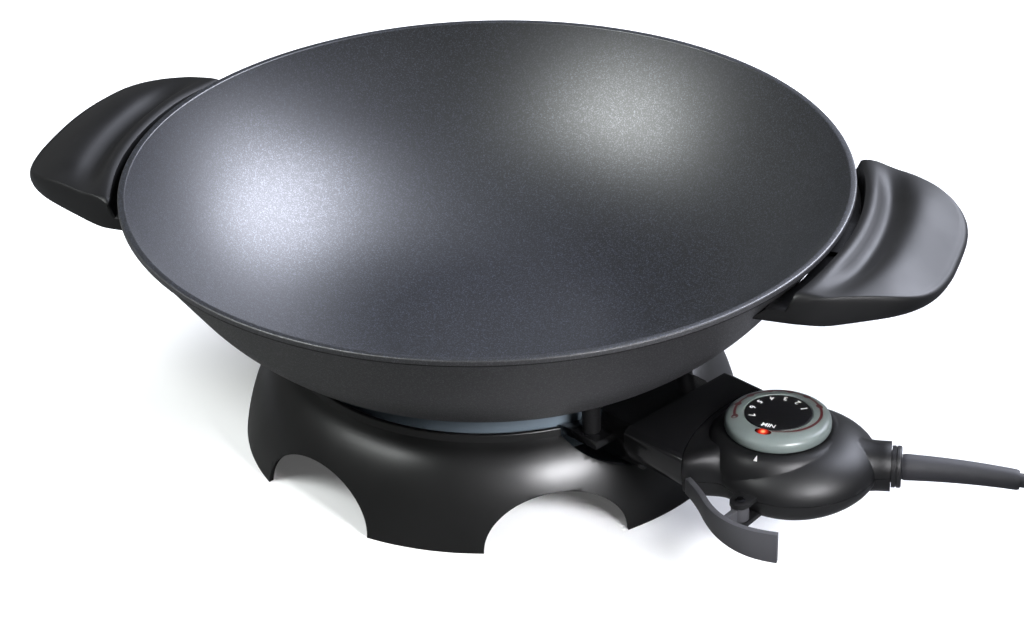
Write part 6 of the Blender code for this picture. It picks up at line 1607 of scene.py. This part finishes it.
@dataclass
class MainsCord:
    """The free cord: gland, strain relief, one sheath that falls to a neat coil, and the plug."""

    neck: Matrix
    parting: float = PARTING
    radius: float = 3.5 * MM
    ring: float = 46.7 * MM
    relief_start: float = 51.55 * MM
    relief_length: float = 56.25 * MM
    relief_radii: Spot = (6.5 * MM, 5.0 * MM)
    droop: float = 3.9 * MM
    reach: float = 72.0 * MM
    lead_shares: tuple[Spot, ...] = (
        (0.0, 1.0), (0.1, 0.954), (0.3, 0.72), (0.52, 0.33), (0.68, 0.09), (0.78, 0.012), (0.87, 0.0),
        (1.0, 0.0))
    layers: int = 4
    turns: float = 4.25
    outer: float = 41.0 * MM
    inner: float = 33.5 * MM
    step: float = 7.5 * MM
    tail_reach: float = 62.0 * MM
    tail_shares: tuple[Spot, ...] = (
        (0.0, 0.0), (0.14, 0.0), (0.4, 0.28), (0.65, 0.76), (0.86, 1.0), (1.0, 1.0))
    plug_radius: float = 19.0 * MM
    plug_length: float = 44.0 * MM
    plug_shares: tuple[Spot, ...] = (
        (0.0, 0.0), (0.26, 0.0), (0.28, 0.01), (0.37, 0.38), (0.45, 0.45), (0.8, 0.5), (0.92, 0.55),
        (0.985, 0.6), (1.0, 0.65), (1.0, 0.97), (0.98, 1.0), (0.0, 1.0))

    def route(self) -> list[Point]:
        """Lay out the cord in the neck's frame: the fall, the coil's turns and the tail.

        Returns:
            Points from the relief to the plug.
        """
        lead_start = self.relief_start + self.relief_length - 0.5 * MM
        rest = self.radius + GAP / 3
        coil_top = rest + self.step * (self.layers - 1)
        tip = self.parting - self.droop
        route = [(lead_start + self.reach * along, 0.0, mix(coil_top, tip, up))
                 for along, up in self.lead_shares]
        entry = lead_start + self.reach + GAP
        middle, swing = (self.outer + self.inner) / 2, (self.outer - self.inner) / 2
        centre = (entry + self.radius * 2, -self.outer)
        layer_turns = self.turns / self.layers
        for share in shares(round(self.turns * 24)):
            turns = self.turns * share
            circle = middle + swing * math.cos(math.pi * turns / layer_turns)
            height = coil_top
            for layer in range(1, self.layers):
                height -= self.step * ease((turns - layer * layer_turns) * 2 + 0.5)
            route.append((*around(centre, circle, 90 - 360 * turns), height))
        x, y, _ = route[-1]
        y -= self.radius * 2
        route += [(x, y - self.tail_reach * along, mix(rest, self.plug_radius, up))
                  for along, up in self.tail_shares]
        return route

    def build(self) -> None:
        sheath = CORD_RUBBER.build()
        lay = self.neck @ Matrix.Translation((0.0, 0.0, self.parting)) @ TURN_UP
        self.gland(lay)
        self.relief(sheath)
        route = [self.neck @ Vector(spot) for spot in self.route()]
        cord = add("mains_cord", bpy.ops.curve.primitive_nurbs_path_add)
        cord.data.splines.clear()
        spline = cord.data.splines.new("POLY")
        spots = smooth_route(route, 2.0 * MM)
        spline.points.add(len(spots) - 1)
        for point, spot in zip(spline.points, spots):
            point.co = (*spot, 1.0)
        cord.data.bevel_depth = self.radius
        cord.data.bevel_resolution = 5
        cord.data.use_fill_caps = True
        cord.data.splines[0].use_smooth = True
        dress(cord, Body.CONTROLLER, sheath, ["cord_lead", "cord_coil", "cord_tail"])
        plug = self.plug(self.route()[-1])

    def gland(self, lay: Matrix) -> None:
        """Build the stepped ring that holds the cord in the housing's neck.

        Args:
            lay: The frame of the neck, with Z out along it.
        """
        bore, outer, groove, edge = 3.8 * MM, 10.2 * MM, 9.7 * MM, 0.9 * MM
        low, high = self.ring, self.ring + 4.8 * MM
        section = [(bore, low - 9 * MM), (7.8 * MM, low - 9 * MM), (7.8 * MM, low), (outer, low)]
        section += [(outer, low + 1.8 * MM), (groove, low + 2.0 * MM), (groove, low + 2.4 * MM),
                    (outer, low + 2.6 * MM)]
        section += arc((outer - edge, high - edge), edge, 0, 90, 4)
        section.append((bore, high))
        gland = spin_outline("cord_gland_ring", section, 96)
        settle(smooth(gland, 35), lay)
        dress(gland, Body.CONTROLLER, GLAND_PLASTIC.build(), ["cord_gland"])

    def relief(self, sheath: bpy.types.Material) -> None:
        """Build the tapered sleeve that bends with the cord.

        Args:
            sheath: The cord's own material, which the sleeve shares.
        """
        rings = []
        for share in shares(40):
            radius = mix(*self.relief_radii, share) - (0.5 * MM if share in (0, 1) else 0.0)
            x = self.relief_start + self.relief_length * share
            centre = (0.0, self.parting - self.droop * share ** 2)
            rings.append([(x, *spot) for spot in arc(centre, radius, 0, 360, 40)])
        relief = settle(smooth(skin_rings("bend_relief", rings), 50), self.neck)
        dress(relief, Body.CONTROLLER, sheath, ["strain_relief"])

    def plug(self, end: Point) -> Thing:
        """Build the round plug on its side, with two slots for its clips.

        Args:
            end: Where the cord ends, in the neck's frame.

        Returns:
            The plug.
        """
        section = [(self.plug_radius * out, self.plug_length * along) for out, along in self.plug_shares]
        plug = spin_outline("mains_plug", section, 120)
        lie = Matrix.Translation((end[0], end[1] - GAP, self.plug_radius)) @ Matrix.Rotation(
            math.pi / 2, 4, "X")
        slots = [add_block("slot", (-4 * MM, side * 16 * MM, 32 * MM), (4 * MM, side * 21 * MM, 46 * MM))
                 for side in (-1, 1)]
        combine(plug, slots, Cut.TAKE)
        round_edges(plug, 0.4 * MM, 2, 60)
        settle(smooth(plug, 35), self.neck @ lie)
        return dress(plug, Body.CONTROLLER, PLUG_RUBBER.build(), ["plug_body"])


def smooth_route(route: Sequence[Vector], spacing: float) -> list[Vector]:
    """Read even points from a smooth curve through a route.

    Args:
        route: Points that the curve passes through.
        spacing: Distance between the points that are returned.

    Returns:
        Points from the first end to the last.
    """
    padded = [2 * route[0] - route[1], *route, 2 * route[-1] - route[-2]]
    fine = []
    for before, here, there, after in zip(padded, padded[1:], padded[2:], padded[3:]):
        for t in shares(12)[:-1]:
            fine.append(0.5 * (2 * here + (there - before) * t
                               + (2 * before - 5 * here + 4 * there - after) * t ** 2
                               + (3 * here - before - 3 * there + after) * t ** 3))
    fine.append(route[-1])
    path = [fine[0]]
    walked = 0.0
    for here, there in zip(fine, fine[1:]):
        walked += (there - here).length
        if walked >= spacing:
            path.append(there)
            walked = 0.0
    path[-1] = fine[-1]
    return path


@dataclass
class Fasteners:
    """The pan-head screws, each with a cross recess."""

    sides: int = 32
    head: float = 3.6 * MM
    depth: float = 2.2 * MM
    shank: float = 1.9 * MM
    clamp_share: float = 1.3 / 1.9

    def screw(self, name: str, head: float, depth: float, shank: float, length: float) -> Thing:
        """Model one screw with its seat at zero and its shank upwards.

        Args:
            name: The object's name.
            head: Radius of its head.
            depth: Height of its head.
            shank: Radius of its shank.
            length: Length of its shank.

        Returns:
            The screw, with its cross recess.
        """
        dome = [(0.0, -depth), (head * 0.55, -depth * 0.97), (head * 0.82, -depth * 0.82),
                (head * 0.96, -depth * 0.5), (head, -depth * 0.15), (head, 0.0)]
        screw = spin_outline(name, [*dome, (shank, 0.0), (shank, length - shank / 2), (shank / 2, length),
                                    (0.0, length)], self.sides)
        reach, slit = head * 0.6, head * 0.12
        cross = [add_block("slot", (-x, -y, -depth * 1.2), (x, y, -depth * 0.4))
                 for x, y in ((reach, slit), (slit, reach))]
        return smooth(combine(screw, cross, Cut.TAKE), 35)

    def build(self, nodes: Iterable[str]) -> None:
        """Build a screw for each screw node, at the node's own size and place.

        Args:
            nodes: Names of the model's nodes.
        """
        finish = STEEL.build()
        for node in sorted(nodes):
            if "_screw_" not in node:
                continue
            low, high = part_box(node)
            small = node.startswith("clamp")
            share = self.clamp_share if small else 1.0
            depth = self.depth * share
            screw = self.screw(f"{node}_head", self.head * share, depth, self.shank * share,
                               high.z - low.z - depth)
            seat = high.z - depth if small else low.z + depth
            flip = Matrix.Rotation(math.pi, 4, "X") if small else Matrix.Identity(4)
            middle = (low + high) / 2
            settle(screw, Matrix.Translation((middle.x, middle.y, seat)) @ flip)
            body = Body.CONTROLLER if node.startswith(("housing", "clamp")) else Body.WOK
            dress(screw, body, finish, [node])


@dataclass
class InnerParts:
    """Small parts whose CAD solid has the right shape: each gets merged, rounded and dressed."""

    bodies: dict[str, list[str]]

    def finish_of(self, node: str) -> tuple[Moulding | WorkedMetal, str]:
        """Choose the finish of a small part.

        Args:
            node: The part's name.

        Returns:
            The finish and the material slot.
        """
        if node in LEADS:
            return insulation(*LEADS[node]), LEADS[node][0]
        families = (
            (("terminal_pin", "plug_pin", "plug_clip", "earth_strip", "thermostat_frame"), NICKEL, "nickel"),
            (("pin_bead", "contact_stack", "push_rod", "lamp_resistor"), CERAMIC, "ceramic"),
            (("pin_receptacle", "fixed_contact", "moving_contact"), BRASS, "brass"),
            (("contact_block", "cord_clamp"), BLOCK_PLASTIC, "phenolic"),
            (("cord_jacket_end",), CORD_RUBBER, "cord"),
            (("lever_pin",), BLACK_STEEL, "steel"),
            (("pilot_lamp",), LAMP_LENS, "lamp"),
        )
        for names, finish, slot in families:
            if node.startswith(names):
                return finish, slot
        return STEEL, "steel"

    def build(self, frame_nodes: dict[str, Thing]) -> None:
        """Build a merged and rounded copy of every node that no piece stands for yet.

        Args:
            frame_nodes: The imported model's nodes by name.
        """
        made: dict[str, bpy.types.Material] = {}
        for body, members in self.bodies.items():
            for node in members:
                if node in REPLACED:
                    continue
                finish, slot = self.finish_of(node)
                if finish.name not in made:
                    made[finish.name] = finish.build()
                copy = bpy.data.objects.new(f"{node}_piece", frame_nodes[node].data.copy())
                bpy.context.scene.collection.objects.link(copy)
                copy.data.materials.clear()
                in_edit_mode(copy, tidy_mesh)
                apply_modifier(copy, "DECIMATE", decimate_type="DISSOLVE", angle_limit=math.radians(1))
                round_edges(copy, 0.15 * MM, 1, 50)
                smooth(copy, 40)
                dress(copy, Body(body), made[finish.name], [node])


@dataclass
class Studio:
    """A white studio: a floor, soft lights and a plain surround.

    The camera sees a white floor and surround. The object sees a darker floor and walls, so that its dark
    mouldings keep the depth that they have in the photograph.
    """

    turn: Matrix
    floor: str = "#f4f4f4"
    shaded_floor: str = "#7d7d7d"
    shade_pool: float = 0.48
    glow: Spot = (0.55, 0.08)
    bounce: float = 0.12
    wall_gloss: float = 0.20
    ceiling_gloss: float = 0.04

    def stage(self) -> None:
        """Add the floor, which keeps the object's shadow; its glow to the camera is painted light, low in a
        pool of painted shade round the object and whitest away from it.
        """
        floor = add("studio_floor", bpy.ops.mesh.primitive_plane_add, size=12.0)
        material, shader = new_material("white_paper_sweep", self.floor, Roughness=0.9,
                                        Specular_IOR_Level=0.0, Emission_Color=WHITE)
        rays = add_node(material, "ShaderNodeLightPath")
        colour = add_node(material, "ShaderNodeMix", {MIX_FIRST: linear(self.shaded_floor),
                                                      MIX_SECOND: linear(self.floor)},
                          {"Factor": rays.outputs["Is Camera Ray"]}, data_type="RGBA")
        place = add_node(material, "ShaderNodeTexCoord").outputs["Object"]
        spread = add_node(material, "ShaderNodeMapping", {"Scale": (1 / self.shade_pool,) * 3}, {"Vector": place})
        near = add_node(material, "ShaderNodeTexGradient", links={"Vector": spread.outputs["Vector"]},
                        gradient_type="SPHERICAL")
        # Painted light and shade: the glow that only the camera sees is weak round the object and strong
        # away from it
        glow = add_node(material, "ShaderNodeMapRange", {
            "From Max": 0.7, "To Min": self.glow[0], "To Max": self.glow[1]},
            {"Value": near.outputs["Fac"]})
        seen = add_node(material, "ShaderNodeMath", links={
            0: rays.outputs["Is Camera Ray"], 1: glow.outputs["Result"]}, operation="MULTIPLY")
        feed(material, shader, {"Base Color": colour.outputs[MIX_RESULT],
                                "Emission Strength": seen.outputs["Value"]})
        floor.data.materials.append(material)

    def world(self) -> None:
        """Set a surround that is white to the camera, with soft walls and a dark ceiling in the gloss."""
        world = bpy.data.worlds.new("studio")
        bpy.context.scene.world = world
        world.use_nodes = True
        background = world.node_tree.nodes["Background"]
        background.inputs["Color"].default_value = WHITE
        rays = add_node(world, "ShaderNodeLightPath").outputs
        ahead = add_node(world, "ShaderNodeTexCoord").outputs["Generated"]
        height = add_node(world, "ShaderNodeSeparateXYZ", links={"Vector": ahead}).outputs["Z"]
        walls = add_node(world, "ShaderNodeMapRange", {
            "From Min": 0.3, "From Max": 0.65, "To Min": self.wall_gloss, "To Max": self.ceiling_gloss},
            {"Value": height}, interpolation_type="SMOOTHSTEP")
        gloss = add_node(world, "ShaderNodeMapRange", {"To Min": self.bounce}, {
            "Value": rays["Is Glossy Ray"], "To Max": walls.outputs["Result"]})
        strength = add_node(world, "ShaderNodeMapRange", {"To Max": 1.0}, {
            "Value": rays["Is Camera Ray"], "To Min": gloss.outputs["Result"]})
        feed(world, background, {"Strength": strength.outputs["Result"]})

    def light(self, name: str, place: Point, target: Point, size: Spot, power: float, colour: str,
              spread: float = 180.0) -> None:
        """Hang a soft panel that faces a target.

        Args:
            name: The light's name.
            place: Its centre, in the frame that the camera looks along.
            target: What it faces, in the same frame.
            size: Its width and height.
            power: Its power in watts.
            colour: Its colour as sRGB hex.
            spread: How wide it shines, in degrees.
        """
        data = bpy.data.lights.new(name, "AREA")
        data.spread = math.radians(spread)
        data.color = linear(colour)[:3]
        data.shape = "RECTANGLE"
        data.size, data.size_y = size
        data.energy = power
        lamp = bpy.data.objects.new(name, data)
        bpy.context.scene.collection.objects.link(lamp)
        lamp.visible_camera = False
        lamp.location = self.turn @ Vector(place)
        away = self.turn @ Vector(place) - self.turn @ Vector(target)
        lamp.rotation_euler = away.to_track_quat("Z", "Y").to_euler()

    def build(self) -> None:
        """Build the stage, the surround and the lights."""
        self.stage()
        self.world()
        self.light("right_panel", (0.80, 0.50, 0.87), (-0.11, 0.08, 0.09), (0.85, 0.7), 31.0, "#ecf0ff")
        self.light("front_left_panel", (-0.66, -0.27, 0.86), (0.06, 0.14, 0.11), (0.6, 0.45), 12.0,
                   "#fbfffe")
        self.light("front_panel", (0.27, -0.45, 0.29), (0.05, -0.12, 0.0), (0.17, 0.13), 0.36, "#fbfbff",
                   spread=44.0)


@dataclass
class Viewpoint:
    """The camera at the photograph's viewing angle."""

    turn: Matrix
    place: Point = (10.8 * MM, -1403.8 * MM, 866.8 * MM)
    target: Point = (10.8 * MM, 0.0, 62.2 * MM)
    roll: float = -1.49
    focal_pixels: float = 3124.0
    image_width: float = 1024.0
    sensor: float = 36.0

    def build(self) -> None:
        """Set up the camera."""
        data = bpy.data.cameras.new("camera")
        data.sensor_width = self.sensor
        data.lens = self.focal_pixels * self.sensor / self.image_width
        camera = bpy.data.objects.new("camera", data)
        bpy.context.scene.collection.objects.link(camera)
        place, target = Vector(self.place), Vector(self.target)
        ahead = (target - place).normalized()
        right = ahead.cross(Vector((0, 0, 1))).normalized()
        up = right.cross(ahead)
        cos, sin = math.cos(math.radians(self.roll)), math.sin(math.radians(self.roll))
        right, up = right * cos + up * sin, up * cos - right * sin
        matrix = Matrix((right, up, -ahead)).transposed().to_4x4()
        matrix.translation = place
        camera.matrix_world = self.turn @ matrix
        bpy.context.scene.camera = camera


def main() -> None:
    """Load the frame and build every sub-assembly."""
    logging.basicConfig(level=logging.INFO, format="%(name)s: %(message)s")
    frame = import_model()
    bpy.context.scene.view_settings.view_transform = "Standard"
    slide = next(joint for joint in frame["joints"] if joint["name"] == "controller_unplug")
    arm = Matrix.Rotation(math.atan2(slide["axis"][1], slide["axis"][0]), 4, "Z")
    neck = arm @ Matrix.Translation((*BULB_AXIS, 0.0)) @ turned(NECK_BEARING)
    camera_turn = turned(CAMERA_BEARING)
    Viewpoint(camera_turn).build()
    MainsCord(neck).build()
    Studio(camera_turn).build()
    Bowl(arm).build()
    Grips().build()
    Stand(arm).build()
    Reflector(arm).build()
    Shroud(arm).build()
    upper = Housing(arm).build()
    Dial(arm).build()
    Pointer(arm).build(upper)
    Lever(arm).build()
    bodies = frame["record"]["behaviour"]["bodies"]
    Fasteners().build(node for members in bodies.values() for node in members)
    InnerParts(bodies).build(frame["nodes"])


if __name__ == "__main__":
    main()
